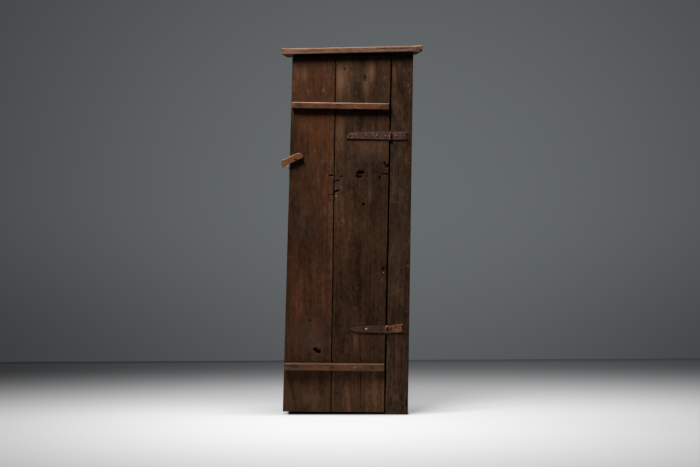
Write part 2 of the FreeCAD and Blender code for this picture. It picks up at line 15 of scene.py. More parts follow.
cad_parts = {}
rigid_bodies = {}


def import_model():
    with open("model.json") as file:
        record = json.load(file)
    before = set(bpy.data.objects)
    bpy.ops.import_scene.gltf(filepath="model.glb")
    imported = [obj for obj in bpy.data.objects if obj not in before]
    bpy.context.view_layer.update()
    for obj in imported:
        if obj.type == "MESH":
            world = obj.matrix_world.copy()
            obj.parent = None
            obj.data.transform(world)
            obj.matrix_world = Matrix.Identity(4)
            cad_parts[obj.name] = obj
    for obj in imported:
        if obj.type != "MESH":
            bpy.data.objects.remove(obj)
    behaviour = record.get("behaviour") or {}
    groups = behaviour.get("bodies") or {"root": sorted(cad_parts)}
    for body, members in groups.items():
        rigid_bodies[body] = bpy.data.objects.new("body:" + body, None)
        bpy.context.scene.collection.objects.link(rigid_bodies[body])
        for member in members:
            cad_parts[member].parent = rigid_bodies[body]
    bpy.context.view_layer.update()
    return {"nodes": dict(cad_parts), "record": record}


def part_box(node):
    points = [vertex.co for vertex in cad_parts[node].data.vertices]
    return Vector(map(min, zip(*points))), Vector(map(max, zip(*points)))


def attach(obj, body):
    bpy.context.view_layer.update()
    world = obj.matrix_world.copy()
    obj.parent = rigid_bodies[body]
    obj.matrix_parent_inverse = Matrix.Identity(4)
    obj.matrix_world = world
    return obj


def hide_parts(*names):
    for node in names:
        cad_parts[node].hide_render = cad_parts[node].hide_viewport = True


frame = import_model()

bl_info = {
    "name": "Rustic Cupboard",
    "version": (1, 0, 0),
    "blender": (4, 5, 0),
    "location": "View3D > Sidebar > Cupboard",
    "description": "Worn boards, forged iron and a studio for a packed single-door cupboard",
    "category": "Object",
}

X, Y, Z = 0, 1, 2
UP = Vector((0.0, 0.0, 1.0))
NODE_BODY = {
    node: body
    for body, nodes in frame["record"]["behaviour"]["bodies"].items()
    for node in nodes
}
MM_PER_M = 1000.0
STRAIGHT_SHARE = 0.9
MERGE_GAP = 1e-6
CORNER_REACH = 0.01

Mark = namedtuple("Mark", "kind across up half_width half_height strength turn", defaults=(0.0,))


def marks_in(table):
    """The marks of one board in metres, from rows in millimetres under their kinds."""
    return [Mark(kind, *(size / MM_PER_M for size in row[:4]), *row[4:])
            for kind, rows in table.items() for row in rows]


# Marks on the front faces: across, up, half width, half height, strength, and turn in degrees.
DOOR_LEFT_MARKS = marks_in({
    "pale": [(-203.4, 1530.4, 15.4, 39.6, 0.35), (-187.8, 1456, 3.1, 11, 0.6, 20),
        (-122.9, 1460.3, 3.1, 11.5, 0.7, -22), (-114.1, 1456, 2.6, 10.6, 0.6, 20),
        (-187.6, 569.5, 6.7, 22.4, 0.25), (-165, 1290, 90, 70, 0.09), (-185, 360, 90, 100, 0.08),
        (-185, 85, 90, 50, 0.16)],
    "red": [(-233.1, 1477.9, 26.4, 57.3, 0.2), (-158.2, 1451.6, 52.9, 35.3, 0.15),
        (-208.4, 1018.6, 9.8, 71.1, 0.5), (-168.3, 1036.4, 8.9, 80, 0.4),
        (-123.9, 1027.5, 13.3, 71.1, 0.5), (-178.6, 592.1, 26.9, 76.1, 0.38),
        (-239.6, 456.1, 18, 40.4, 0.22), (-145.5, 410.6, 13.5, 40.4, 0.5)],
    "ember": [(-208.6, 1310.9, 22.1, 61.9, 0.5), (-150, 1284.5, 62, 88.5, 0.9),
        (-88, 1249.2, 7.1, 97.4, 0.8)],
    "dark": [(-259.5, 1209.4, 7.1, 35.4, 0.6), (-106.1, 1036.4, 7.1, 80, 0.4),
        (-253.3, 907, 17.8, 80.2, 0.4), (-142.2, 803.9, 35.7, 71.4, 0.3), (-224.7, 255.3, 4.5, 5.4, 0.7),
        (-282, 524.2, 13.5, 179.4, 0.35), (-198, 164.4, 108.4, 22.6, 0.2), (-256, 1270, 35, 90, 0.35),
        (-175, 700, 110, 140, 0.12)],
    "grey": [(-226.8, 857.8, 44.6, 80.2, 0.4), (-165.9, 323.9, 22.5, 13.5, 0.5),
        (-184.7, 90, 81.4, 63.3, 0.25), (-185, 360, 90, 90, 0.3)],
    "crack": [(-86, 1083, 13, 4.2, 1, 4), (-87.5, 996, 11, 2.6, 0.6, 2)],
    "knot": [(-184.5, 429.7, 9, 8, 0.55, -25), (-152.5, 293, 20, 11, 0.62, -32),
        (-187.3, 273.6, 9.9, 8.1, 0.45, 10)],
    "nailhole": [(-161, 300, 10, 6.8, 1, 40), (-148, 288.5, 13.5, 8, 1, -20),
        (-140, 295.5, 4.5, 3.5, 0.8)],
    "flake": [(-192, 533, 2, 2.8, 0.35)],
})
DOOR_RIGHT_MARKS = marks_in({
    "pale": [(-45.3, 1504.1, 21.5, 74.9, 0.62), (64.4, 1495.4, 15, 66.1, 0.55),
        (92.9, 1539.1, 13, 49.6, 0.5), (149.4, 1517.3, 4, 9.7, 0.45), (-43.7, 1293.3, 14.2, 70.8, 0.3),
        (85, 991.8, 7.1, 35.6, 0.45), (2.8, 1007.9, 3.6, 3.6, 0.6), (-36, 880.1, 8.9, 2, 0.7, -10),
        (8.6, 757.2, 8, 2.7, 0.4, 15), (140.7, 614.7, 6.3, 15.7, 0.3, 10), (28.4, 579.9, 5.4, 5.4, 0.4),
        (22.1, 485.2, 9, 4.5, 0.35, -15), (20.9, 333.1, 9, 40.5, 0.35), (-17.2, 999, 9.8, 3.1, 0.35, 5),
        (59.8, 1285.3, 12, 2.2, 0.6), (60, 1210, 110, 45, 0.17), (50, 370, 100, 70, 0.07),
        (50, 85, 95, 50, 0.08)],
    "knot": [(-26.8, 1552.2, 5.3, 5.3, 0.8), (63, 1513.8, 8.4, 18.5, 0.75, 5),
        (145.1, 665.3, 7.2, 9.8, 0.9), (-41.6, 1076.4, 8, 7.5, 0.75)],
    "grey": [(13.7, 1495.4, 24, 77.3, 0.45), (67.1, 1143, 84.3, 62.1, 0.35),
        (-26.1, 1072, 35.5, 62.2, 0.25), (90.2, 552.3, 4.5, 5.8, 0.6)],
    "dark": [(146, 1480.3, 26.5, 77.3, 0.65), (88.9, 1319.8, 75.1, 35.4, 0.45),
        (130.3, 1014.1, 26, 22.2, 0.75), (147.2, 1031.9, 17.8, 17.8, 0.4),
        (27.3, 781.5, 31.2, 40.2, 0.55), (-39.7, 641.9, 22.4, 17.9, 0.35), (-33, 546.9, 15.7, 31.4, 0.5),
        (26.2, 503.8, 9, 6.3, 0.5), (5.1, 601.2, 80.6, 89.6, 0.15), (104.2, 296.5, 58.5, 36, 0.15),
        (156, 1068, 13, 7, 0.6), (13.7, 1465, 22, 45, 0.12), (60, 950, 120, 100, 0.38),
        (140, 670, 20, 26, 0.5)],
    "hole": [(42.5, 1090.5, 17.5, 15, 1)],
    "lip": [(37.5, 1083.8, 17.5, 16.5, 1)],
    # Painted shadows below the knothole's lip and under the two hinge straps.
    "stain": [(37, 1077.5, 15, 5.5, 0.75), (70, 1239.5, 98, 6.5, 0.6), (90, 369, 80, 5, 0.6)],
    # The first of these marks is a painted highlight, the glint inside the knothole; the other two are flaked
    # wood.
    "flake": [(42, 1086.8, 12.5, 1.4, 0.55), (145.1, 649.5, 3, 3.2, 1), (-67.9, 992.7, 6.2, 3.4, 0.8)],
    "ember": [(40.5, 1018.6, 22.2, 44.4, 0.55), (5.1, 433.3, 13.5, 27, 0.35)],
    "nailhole": [(55.7, 953.9, 6.7, 6.2, 1)],
    "red": [(-6.6, 812.9, 8.9, 35.7, 0.5), (63.2, 641.9, 13.4, 22.4, 0.45),
        (27.7, 182, 90.3, 112.8, 0.2)],
    "split": [(43, 200.3, 1.4, 171.4, 1, 0.8)],
    "crack": [(152.5, 1131.5, 4.6, 15, 1, 26), (165, 1128, 4.6, 14, 1, -22),
        (156, 1089, 15.5, 4.4, 1, -12), (129.5, 1072.5, 4.2, 9, 1, 8),
        (-59.4, 1060, 11.5, 4.2, 0.9, 12)],
    "chip": [(-62.5, 1013.2, 15, 5, 1, 18)],
})
STILE_MARKS = marks_in({
    "red": [(252.3, 1169.6, 9.8, 62.1, 0.7), (259.4, 1258, 6.6, 44.3, 0.6),
        (207.7, 1460.3, 22, 88.2, 0.3), (199, 227.8, 18, 112.7, 0.25)],
    "grey": [(199.9, 1196.1, 17.7, 177.2, 0.2), (206, 750, 40.2, 178.7, 0.2)],
    "pale": [(191.9, 966.4, 4.4, 5.3, 0.4), (209.7, 965.1, 4.4, 4.4, 0.35), (253, 1482.2, 3.5, 6.2, 0.5),
        (210, 720, 50, 150, 0.09), (200, 220, 30, 90, 0.03)],
    "flake": [(255, 679.3, 3, 4, 0.5), (230.3, 83.1, 3.5, 3.5, 0.35)],
    "dark": [(233.2, 456.1, 6.7, 22.5, 0.6), (179.8, 48.5, 15.4, 27.1, 0.5), (215, 1020, 50, 160, 0.12),
        (216, 1582.8, 52.8, 30.8, 0.3), (184.9, 387.8, 9, 179.8, 0.25), (253.5, 90, 6, 50, 0.6)],
    "knot": [(227.6, 80.8, 9, 9, 0.6)],
    "crack": [(238.2, 34.6, 1.8, 18.1, 1, 12), (249.4, 53.1, 1.8, 22.6, 0.8, -8),
        (231, 18, 1.6, 17, 0.7, -5)],
    "ember": [(244.4, 668.9, 11.2, 53.7, 0.35)],
    "chip": [(257, 42, 4, 14, 0.8, 4), (258.5, 115, 3, 9, 0.7, -6)],
    # Painted shadows under the two hinge leaves.
    "stain": [(208, 1238.5, 33, 6.5, 0.6), (205, 372, 38, 5, 0.6)],
})
TOP_BATTEN_MARKS = marks_in({
    "dark": [(-232, 1392, 30, 14, 0.65), (-228.2, 1394, 9, 8, 0.8), (-47.9, 1390, 24, 7, 0.5),
        (-90, 1388, 30, 6, 0.3), (132.4, 1391, 10, 9, 0.7), (157, 1390, 18, 14, 0.7)],
    "grey": [(-245, 1390, 22, 12, 0.5), (160, 1390, 14, 14, 0.5)],
    "red": [(60, 1390, 50, 10, 0.6)],
    "chip": [(-205, 1377.5, 12, 3, 0.6), (20, 1375.5, 9, 3, 0.5)],
})
BOTTOM_BATTEN_MARKS = marks_in({
    "pale": [(-60, 222, 220, 30, 0.22)],
    "grey": [(-255, 222, 45, 16, 0.4), (75, 221, 30, 12, 0.5)],
    "dark": [(-250, 222, 45, 16, 0.55), (-255.4, 225, 10, 10, 0.8), (-82.5, 224, 16, 10, 0.7),
        (80, 221, 40, 14, 0.5), (94.9, 220.5, 10, 8, 0.7)],
    "flake": [(18.1, 222, 6, 3, 0.6)],
    "red": [(-160, 224, 60, 12, 0.6)],
    "crack": [(-85, 219, 12, 1.6, 0.7, 8)],
})
TOP_MARKS = marks_in({
    "knot": [(293.4, 1639.7, 7, 6, 0.6)],
    "flake": [(292.5, 1641, 3, 3, 0.8)],
    "dark": [(285, 1632, 14, 5, 0.6, 20), (90, 1640, 90, 3, 0.35, 1), (-130, 1635, 80, 3, 0.3, 1),
        (-200, 1626.5, 40, 4, 0.4, 1), (-302, 1630, 5, 14, 0.7), (311, 1642, 5, 16, 0.8)],
    "crack": [(-175, 1629, 60, 1.2, 0.8, 1.2), (190, 1638.5, 75, 1.2, 0.7, 1.2)],
    "chip": [(309, 1630, 10, 4, 0.8, -30), (45, 1618.5, 14, 3, 0.6, 1)],
})

# How deep each kind of mark is cut, where it is cut, and which tints each kind lays on.
MARK_DEPTHS = {"hole": 0.011, "lip": 0.004, "nailhole": 0.009, "crack": 0.004, "split": 0.003,
               "chip": 0.006, "knot": 0.002, "flake": 0.001}
# The dark laid in holes, nail holes, the lip, cracks, splits and chips is painted shade in the recess
# together with dirt; the dark marks under the straps and the lip are painted shadow.
MARK_TINTS = {
    "hole": {"dark": 1.0}, "lip": {"dark": 0.86, "red": 0.8}, "nailhole": {"dark": 1.0},
    "crack": {"dark": 0.95}, "split": {"dark": 0.8}, "chip": {"dark": 0.9}, "knot": {"dark": 0.92},
    "dark": {"dark": 0.6}, "stain": {"dark": 1.0}, "flake": {"bare": 1.0}, "pale": {"pale": 1.0},
    "red": {"red": 1.0}, "ember": {"ember": 1.0}, "grey": {"grey": 1.0},
}
TINTS = ("dark", "pale", "red", "ember", "grey", "bare")
# Rim of a cut mark in its own half sizes, from untouched to full, and how far noise moves it.
MARK_RIM, RIM_WOBBLE_SHARE, RIM_SCALE = (1.15, 0.7), 0.22, 160.0
# How fast a soft mark fades, the painted shadows under the straps and the lip among them.
SOFT_MARK_FALL = 1.2
MARK_PAD, MARK_CUTS = 0.004, 3
# The side on which a mark is flattened, -1 below and 1 above, and what is left of its height there.
FLAT_SIDES = {"hole": -1, "lip": 1}
FLAT_SHARE = 0.25
# How far the grain bends round a knot, in the knot's own half width and half height.
BEND_KINDS = {"knot", "hole"}
BEND_WIDTH_SHARE, BEND_HEIGHT_SHARE = 2.4, 6.0
# Dirt and painted shade on the upright edges of the front boards, which face into the seams.
SEAM_GRIME_AND_SHADE, SEAM_FACING = 0.8, (0.4, 0.8)

# How the boards are divided, rounded and weathered; noise scales are across and along the grain.
THIN, THIN_STEP = 0.05, 0.0075
SHARP_ANGLE, UPPER_FRONT_WAY = 1.0, 0.5
WEAR_SCALE, WEAR_SHIFT, WEAR_LEAST_SHARE, ARRIS_LEAST_SHARE = 14.0, 9.0, 0.35, 0.75
NOISE_SHIFTS = np.array((7.3, 3.1, 5.7))
WEATHER_SCALES = ((24.0, 2.6), (95.0, 3.5), (16.0, 16.0))
HOLLOW_SHARE = 0.65
DENT_RISE = (0.25, 1.25)
EDGE_FACING, DUST_FACING = (0.97, 0.77), (0.7, 0.95)
# The pale upper front edge: rubbed wood with a painted highlight where it faces up and forward.
RAISED_FACING, FORWARD_FACING = (0.25, 0.55), (-0.2, -0.5)
BARE_SHARE, BARE_WOBBLE_SHARE, BARE_SCALE = 0.85, 0.6, 18.0
DISH_RAMP, DISH_REACH = 0.03, 0.12
FRONT_FACE_WAY, FRONT_POINT_WAY = -0.7, -0.3


def a_length(name, default, description):
    """A size in metres that a user can change."""
    return FloatProperty(name=name, default=default, description=description, unit="LENGTH")


def a_number(name, default, description, subtype="NONE"):
    """A plain number, a share or a power that a user can change."""
    return FloatProperty(name=name, default=default, description=description, subtype=subtype)


def an_angle(name, degrees, description):
    """An angle that a user can change."""
    return a_number(name, math.radians(degrees), description, "ANGLE")


def a_colour(name, default, description="Body colour"):
    """A colour that a user can change."""
    return FloatVectorProperty(name=name, default=default, description=description, subtype="COLOR")


class CupboardWood(bpy.types.PropertyGroup):
    """Wear and colours of the boards."""

    fine_step: a_length("Fine step", 0.005, "Spacing of the points on the front boards")
    level_step: a_length("Level step", 0.006, "Spacing of the points on the battens and the top's front")
    plain_step: a_length("Plain step", 0.009, "Spacing of the points on the other boards")
    edge_wear: a_length("Edge wear", 0.0028, "Widest rounding of a worn board edge")
    hollow: a_length("Hollow", 0.0009, "Depth of the hand plane's hollows")
    nibble: a_length("Nibble", 0.003, "Depth of the dents along the edges")
    door_left: a_colour("Left door board", (0.0440, 0.0185, 0.0086))
    door_right: a_colour("Right door board", (0.0395, 0.0190, 0.0092))
    stile: a_colour("Stile", (0.0306, 0.0159, 0.0087))
    batten: a_colour("Battens", (0.0800, 0.0353, 0.0165))
    top: a_colour("Top", (0.1360, 0.0694, 0.0430))
    side: a_colour("Sides", (0.0380, 0.0180, 0.0090))
    back: a_colour("Back", (0.085, 0.0520, 0.0320))
    inner: a_colour("Inside", (0.080, 0.0460, 0.0270))
    button: a_colour("Turn button", (0.1270, 0.0520, 0.0220))
    # Rubbed and chipped wood, also the colour of the painted highlight on upper front edges.
    bare: a_colour("Bare wood", (0.2800, 0.1750, 0.1200), "Colour of rubbed and chipped wood")


class CupboardIron(bpy.types.PropertyGroup):
    """Shape and colours of the forged iron."""

    voxel: a_length("Forging grain", 0.0011, "Size of the cells that a forged piece is worked in")
    dent: a_length("Dents", 0.0006, "Depth of the hammer marks")
    upper: a_colour("Upper hinge", (0.0528, 0.0255, 0.0170), "Colour of the browned iron")
    lower: a_colour("Lower strap", (0.0440, 0.0195, 0.0112), "Colour of the plum-dark iron")
    rust: a_colour("Rust", (0.1500, 0.0540, 0.0165), "Colour of the rust")
    nail: a_colour("Nail iron", (0.0240, 0.0160, 0.0120), "Colour of the nail heads")
    bright: a_colour("Bright iron", (0.600, 0.5600, 0.5200), "Colour of rubbed iron")


class CupboardStudio(bpy.types.PropertyGroup):
    """Floor, backdrop, lamps and camera."""

    key_power: a_number("Key power", 266.0, "Power of the large lamp above the front left", "POWER")
    key_size: a_length("Key size", 1.15, "Side of the large lamp")
    key_reach: a_length("Key reach", 3.5, "Distance from the large lamp to the cupboard")
    key_height: an_angle("Key height", 60, "Angle of the large lamp above the horizon")
    key_turn: an_angle("Key turn", -39, "Angle of the large lamp from straight ahead")
    fill_power: a_number("Fill power", 100.0, "Power of the lamp behind the right, for the cupboard alone",
                         "POWER")
    fill_reach: a_length("Fill reach", 4.0, "Distance from the fill lamp to the cupboard")
    fill_height: an_angle("Fill height", 25, "Angle of the fill lamp above the horizon")
    fill_turn: an_angle("Fill turn", 132, "Angle of the fill lamp from straight ahead")
    sky: a_number("Sky", 0.008, "Strength of the even light from all round")
    floor_pale: a_colour("Pale floor", (0.965, 0.966, 0.969), "Floor in front")
    floor_deep: a_colour("Deep floor", (0.0870, 0.0900, 0.0945), "Floor at the backdrop")
    floor_share: a_number("Floor glow", 0.62, "Share of the pale floor's look that takes no shadow", "FACTOR")
    floor_take: a_number("Floor take", 0.26, "Share of the lamps' light in the floor's look", "FACTOR")
    floor_bounce: a_number("Floor bounce", 0.9, "How much light the floor throws back on the cupboard",
                           "FACTOR")
    wall: a_colour("Backdrop", (0.132, 0.144, 0.148), "Backdrop, as the camera sees it")
    wall_dim: a_colour("Dim backdrop", (0.03, 0.033, 0.037), "Backdrop far from its lit middle")
    wall_place: a_length("Backdrop place", 0.99, "How far behind the middle the backdrop stands")
    wall_turn: an_angle("Backdrop turn", 1.4, "How far the backdrop is turned from square")
    lens: a_number("Lens", 66.86, "Focal length in millimetres")
    camera: FloatVectorProperty(name="Camera", default=(-0.0039, -5.993, 1.4383),
                                subtype="TRANSLATION", description="Place of the camera")
    camera_tilt: an_angle("Tilt", 83.92, "Angle of the view from straight down")


def only(obj):
    """Leaves one object selected and active."""
    bpy.ops.object.select_all(action="DESELECT")
    obj.select_set(True)
    bpy.context.view_layer.objects.active = obj


@contextmanager
def editing(obj, select="VERT"):
    """Opens one object in edit mode with nothing selected."""
    only(obj)
    bpy.ops.object.mode_set(mode="EDIT")
    bpy.ops.mesh.select_mode(type=select)
    bpy.ops.mesh.select_all(action="DESELECT")
    yield bmesh.from_edit_mesh(obj.data)
    bpy.ops.object.mode_set(mode="OBJECT")


def finish_with(obj, kind, **settings):
    """Adds one modifier and applies it."""
    only(obj)
    modifier = obj.modifiers.new(kind.title(), kind)
    for name, value in settings.items():
        setattr(modifier, name, value)
    bpy.ops.object.modifier_apply(modifier=modifier.name)


def rise(values, low, high):
    """A share that goes from 0 at low to 1 at high."""
    return np.clip((values - low) / (high - low), 0.0, 1.0)


def node_points(node):
    """The points of a CAD node, each once."""
    points = np.array([vertex.co for vertex in frame["nodes"][node].data.vertices])
    return np.unique(np.round(points, 6), axis=0)


def board_corner(points, low, high, signs):
    """The corner of a board that its eased edges would meet in."""
    middle = (low + high) / 2
    reach = ((points - middle) / (high - low) * signs).sum(axis=1)
    best = points[int(np.argmax(reach))]
    near = points[np.linalg.norm(points - best, axis=1) < CORNER_REACH]
    return Vector([near[:, i].max() if signs[i] > 0 else near[:, i].min() for i in (X, Y, Z)])


def board_blank(node):
    """A block in the place and taper of one CAD board."""
    points = node_points(node)
    low, high = points.min(axis=0), points.max(axis=0)
    bpy.ops.object.select_all(action="DESELECT")
    bpy.ops.mesh.primitive_cube_add(size=1.0, location=(low + high) / 2)
    blank = bpy.context.object
    blank.name = f"worn_{node}"
    blank.data.name = blank.name
    bpy.ops.object.transform_apply(location=True, rotation=True, scale=True)
    middle = Vector((low + high) / 2)
    for vertex in blank.data.vertices:
        signs = np.sign(np.array(vertex.co - middle))
        vertex.co = board_corner(points, low, high, signs)
    return blank


def cut_along(obj, axis, parts):
    """Divides every edge that runs along one axis into equal parts."""
    first = max(1, round(math.sqrt(parts)))
    for share in (first, max(1, round(parts / first))):
        if share < 2:
            continue
        with editing(obj, "EDGE") as mesh:
            for edge in mesh.edges:
                run = edge.verts[1].co - edge.verts[0].co
                if abs(run[axis]) > STRAIGHT_SHARE * run.length:
                    edge.select_set(True)
            bpy.ops.mesh.subdivide(number_cuts=share - 1)


def wear_edges(obj, width, seed, arris):
    """Rounds the sharp edges unevenly; arris widens the upper front edge."""
    widest = max(width, arris)
    with editing(obj) as mesh:
        weights = mesh.edges.layers.float.new("bevel_weight_edge")
        for edge in mesh.edges:
            if edge.calc_face_angle(0.0) < SHARP_ANGLE:
                continue
            facing = edge.link_faces[0].normal + edge.link_faces[1].normal
            middle = (edge.verts[0].co + edge.verts[1].co) / 2
            shift = Vector((seed, 0.0, 0.0)) * WEAR_SHIFT
            rub = 0.5 + 0.5 * noise.noise(middle * WEAR_SCALE + shift)
            upper_front = arris > 0.0 and min(-facing.y, facing.z) > UPPER_FRONT_WAY
            own, least = (arris, ARRIS_LEAST_SHARE) if upper_front else (width, WEAR_LEAST_SHARE)
            edge[weights] = own / widest * (least + (1.0 - least) * rub)
    finish_with(obj, "BEVEL", width=widest, segments=3, limit_method="WEIGHT",
                use_clamp_overlap=False)


def points_and_normals(obj):
    """The places and outward directions of a mesh's points, as arrays."""
    mesh = obj.data
    count = len(mesh.vertices)
    places, normals = np.empty(count * 3), np.empty(count * 3)
    mesh.vertices.foreach_get("co", places)
    mesh.vertex_normals.foreach_get("vector", normals)
    return places.reshape(-1, 3), normals.reshape(-1, 3)


def set_points(obj, places):
    """Moves a mesh's points to new places."""
    obj.data.vertices.foreach_set("co", places.ravel())
    obj.data.update()


def set_attribute(obj, name, values):
    """Stores one number per point for the materials to read."""
    held = obj.data.attributes.get(name) or obj.data.attributes.new(name, "FLOAT", "POINT")
    held.data.foreach_set("value", np.ascontiguousarray(values, dtype=np.float32))


def noise_at(places, scales, seed):
    """Smooth noise from -1 to 1 at each place, drawn out by the scales."""
    drawn = places * np.array(scales) + seed * NOISE_SHIFTS
    return np.array([noise.noise(Vector(place)) for place in drawn])


def along_grain(grain, across, along):
    """Scales for noise that runs along one axis."""
    scales = [across] * 3
    scales[grain] = along
    return scales


def edge_share(normals):
    """How far each point lies on an edge, by the way it faces."""
    return rise(np.abs(normals).max(axis=1), *EDGE_FACING)


def weather(obj, grain, seed, wood):
    """Sinks the faces in shallow hollows and dents the edges, only inwards."""
    places, normals = points_and_normals(obj)
    hollow, ridge, dents = (noise_at(places, along_grain(grain, *scales), seed + index)
                            for index, scales in enumerate(WEATHER_SCALES))
    uneven = 0.5 + 0.5 * (HOLLOW_SHARE * hollow + (1.0 - HOLLOW_SHARE) * ridge)
    corner = edge_share(normals)
    sink = wood.hollow * uneven + wood.nibble * corner * rise(dents, *DENT_RISE)
    set_points(obj, places - normals * sink[:, None])
    set_attribute(obj, "worn", corner)
    set_attribute(obj, "dust", rise(normals[:, Z], *DUST_FACING))
    set_attribute(obj, "seed", np.full(len(places), seed))


def dish_front(obj, depth):
    """Wears a board's upper front edge down between its ends."""
    places, normals = points_and_normals(obj)
    low, high = places.min(axis=0), places.max(axis=0)
    under = normals[:, Z] < -STRAIGHT_SHARE
    slope, start = np.polyfit(places[under, X], places[under, Z], 1)
    risen = places[:, Z] - (start + slope * places[:, X])
    inside = rise(np.minimum(places[:, X] - low[X], high[X] - places[:, X]), 0.0, DISH_RAMP)
    near = rise(places[:, Y], low[Y] + DISH_REACH, low[Y])
    places[:, Z] -= depth * inside * near * rise(risen, 0.0, risen.max())
    set_points(obj, places)


def bare_and_lit_arris(places, normals, seed):
    """How far the upper front edge is rubbed down to pale wood, with a painted highlight where it faces up
    and forward.
    """
    facing = rise(normals[:, Z], *RAISED_FACING) * rise(normals[:, Y], *FORWARD_FACING)
    patchy = BARE_SHARE + BARE_WOBBLE_SHARE * noise_at(places, (BARE_SCALE,) * 3, seed + 3.0)
    return np.clip(facing * patchy, 0.0, 1.0)


def mark_reach(places, mark):
    """How far each place is from a mark's middle: 1 is the mark's rim."""
    lean = math.radians(mark.turn)
    aside, above = places[:, X] - mark.across, places[:, Z] - mark.up
    level = aside * math.cos(lean) + above * math.sin(lean)
    upright = above * math.cos(lean) - aside * math.sin(lean)
    flattened = upright * FLAT_SIDES.get(mark.kind, 0) > 0
    tall = np.where(flattened, mark.half_height * FLAT_SHARE, mark.half_height)
    return np.hypot(level / mark.half_width, upright / tall)


def refine_at_marks(obj, marks):
    """Adds points where a mark is cut into the front face."""
    cut = [mark._replace(half_width=mark.half_width + MARK_PAD, half_height=mark.half_height + MARK_PAD)
           for mark in marks if mark.kind in MARK_DEPTHS]
    if not cut:
        return
    with editing(obj, "FACE") as mesh:
        for face in mesh.faces:
            middle = np.array([face.calc_center_median()])
            if face.normal.y <= FRONT_FACE_WAY and any(mark_reach(middle, mark)[0] < 1.0 for mark in cut):
                face.select_set(True)
        bpy.ops.mesh.subdivide(number_cuts=MARK_CUTS)


def cut_marks(obj, marks, seed, arris, low, high):
    """Cuts the holes, knots and cracks inside the board's box, and stores every mark's tint."""
    places, normals = points_and_normals(obj)
    front = normals[:, Y] < FRONT_POINT_WAY
    wobble = 1.0 + RIM_WOBBLE_SHARE * noise_at(places, (RIM_SCALE,) * 3, seed)
    tints = {name: np.zeros(len(places)) for name in TINTS}
    depth, bend = np.zeros((2, len(places)))
    # Rubbed wood and a painted highlight on the upper front edge.
    if arris:
        tints["bare"] = bare_and_lit_arris(places, normals, seed)
    if marks:
        # Dirt and painted shade on the board sides inside the seams.
        tints["dark"] = SEAM_GRIME_AND_SHADE * rise(np.abs(normals[:, X]), *SEAM_FACING)
    for mark in marks:
        reach = mark_reach(places, mark)
        mask = np.exp(-SOFT_MARK_FALL * reach ** 2)
        if mark.kind in MARK_DEPTHS:
            mask = rise(reach * wobble, *MARK_RIM)
            depth = np.maximum(depth, MARK_DEPTHS[mark.kind] * mark.strength * mask * front)
        if mark.kind in BEND_KINDS:
            swirl = Mark("dark", mark.across, mark.up, mark.half_width * BEND_WIDTH_SHARE,
                         mark.half_height * BEND_HEIGHT_SHARE, mark.strength, mark.turn)
            bend = np.maximum(bend, mark.strength * np.exp(-mark_reach(places, swirl) ** 2))
        for name, share in MARK_TINTS[mark.kind].items():
            tints[name] = 1.0 - (1.0 - tints[name]) * (1.0 - mask * share * mark.strength * front)
    places[:, Y] += depth
    set_points(obj, np.clip(places, low, high))
    for name, values in tints.items():
        set_attribute(obj, name, np.clip(values, 0.0, 1.0))
    set_attribute(obj, "bend", bend)


def settle(obj, node, material):
    """Gives a piece its finish and lets it stand for its CAD node."""
    obj.data.materials.clear()
    obj.data.materials.append(material)
    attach(obj, NODE_BODY[node])
    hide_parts(node)


def smooth(obj, degrees=35.0):
    """Shades a piece smooth except over its hard edges."""
    only(obj)
    bpy.ops.object.shade_smooth_by_angle(angle=math.radians(degrees))


def worn_board(node, slot, grain, seed, step, marks=(), arris=0.0, dish=0.0):
    """One board: its block cut into a lattice, its edges worn, its faces weathered and marked."""
    wood = bpy.context.scene.cupboard_wood
    obj = board_blank(node)
    low, high = (np.array(corner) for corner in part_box(node))
    for axis, span in enumerate(high - low):
        cut_along(obj, axis, max(2, round(span / (THIN_STEP if span < THIN else step))))
    refine_at_marks(obj, marks)
    wear_edges(obj, wood.edge_wear, seed, arris)
    weather(obj, grain, seed, wood)
    if dish:
        dish_front(obj, dish)
    cut_marks(obj, marks, seed, arris, low, high)
    smooth(obj)
    settle(obj, node, wood_finish(slot, grain))


def copy_of_node(node):
    """A merged copy of one CAD node, to be worked further."""
    mesh = frame["nodes"][node].data.copy()
    mesh.materials.clear()
    obj = bpy.data.objects.new(f"worn_{node}", mesh)
    mesh.name = obj.name
    bpy.context.scene.collection.objects.link(obj)
    with editing(obj):
        bpy.ops.mesh.select_all(action="SELECT")
        bpy.ops.mesh.remove_doubles(threshold=MERGE_GAP)
    return obj


BROAD_DENT_SHARE, SMALL_DENT_SCALE = 0.7, 3.0
# A rubbed spot with a painted highlight, in its own reach, from dull to fully bright.
SPOT_FALL = (1.6, 0.6)


def worked_piece(node, material, voxel, dent, dent_scale, seed, bright=(), rubbed=False):
    """A forged or whittled piece: a CAD copy worked in small cells, rounded and dented."""
    obj = copy_of_node(node)
    finish_with(obj, "REMESH", mode="VOXEL", voxel_size=voxel)
    finish_with(obj, "SMOOTH", factor=0.5, iterations=3)
    places, normals = points_and_normals(obj)
    broad = noise_at(places, (dent_scale,) * 3, seed)
    small = noise_at(places, (dent_scale * SMALL_DENT_SCALE,) * 3, seed + 1.0)
    sink = dent * (0.5 + 0.5 * (BROAD_DENT_SHARE * broad + (1.0 - BROAD_DENT_SHARE) * small))
    set_points(obj, places - normals * sink[:, None])
    set_attribute(obj, "worn", edge_share(normals))
    set_attribute(obj, "seed", np.full(len(places), seed))
    # Bright spots of rubbed iron with a painted highlight.
    shine = np.zeros(len(places))
    for spot, reach in bright:
        away = np.linalg.norm(places - np.array(spot), axis=1) / reach
        shine = np.maximum(shine, rise(away, *SPOT_FALL))
    set_attribute(obj, "polish", shine)
    # Rubbed wood and a painted highlight on the upper front edges.
    if rubbed:
        set_attribute(obj, "bare", bare_and_lit_arris(places, normals, seed))
    only(obj)
    bpy.ops.object.shade_smooth()
    settle(obj, node, material)


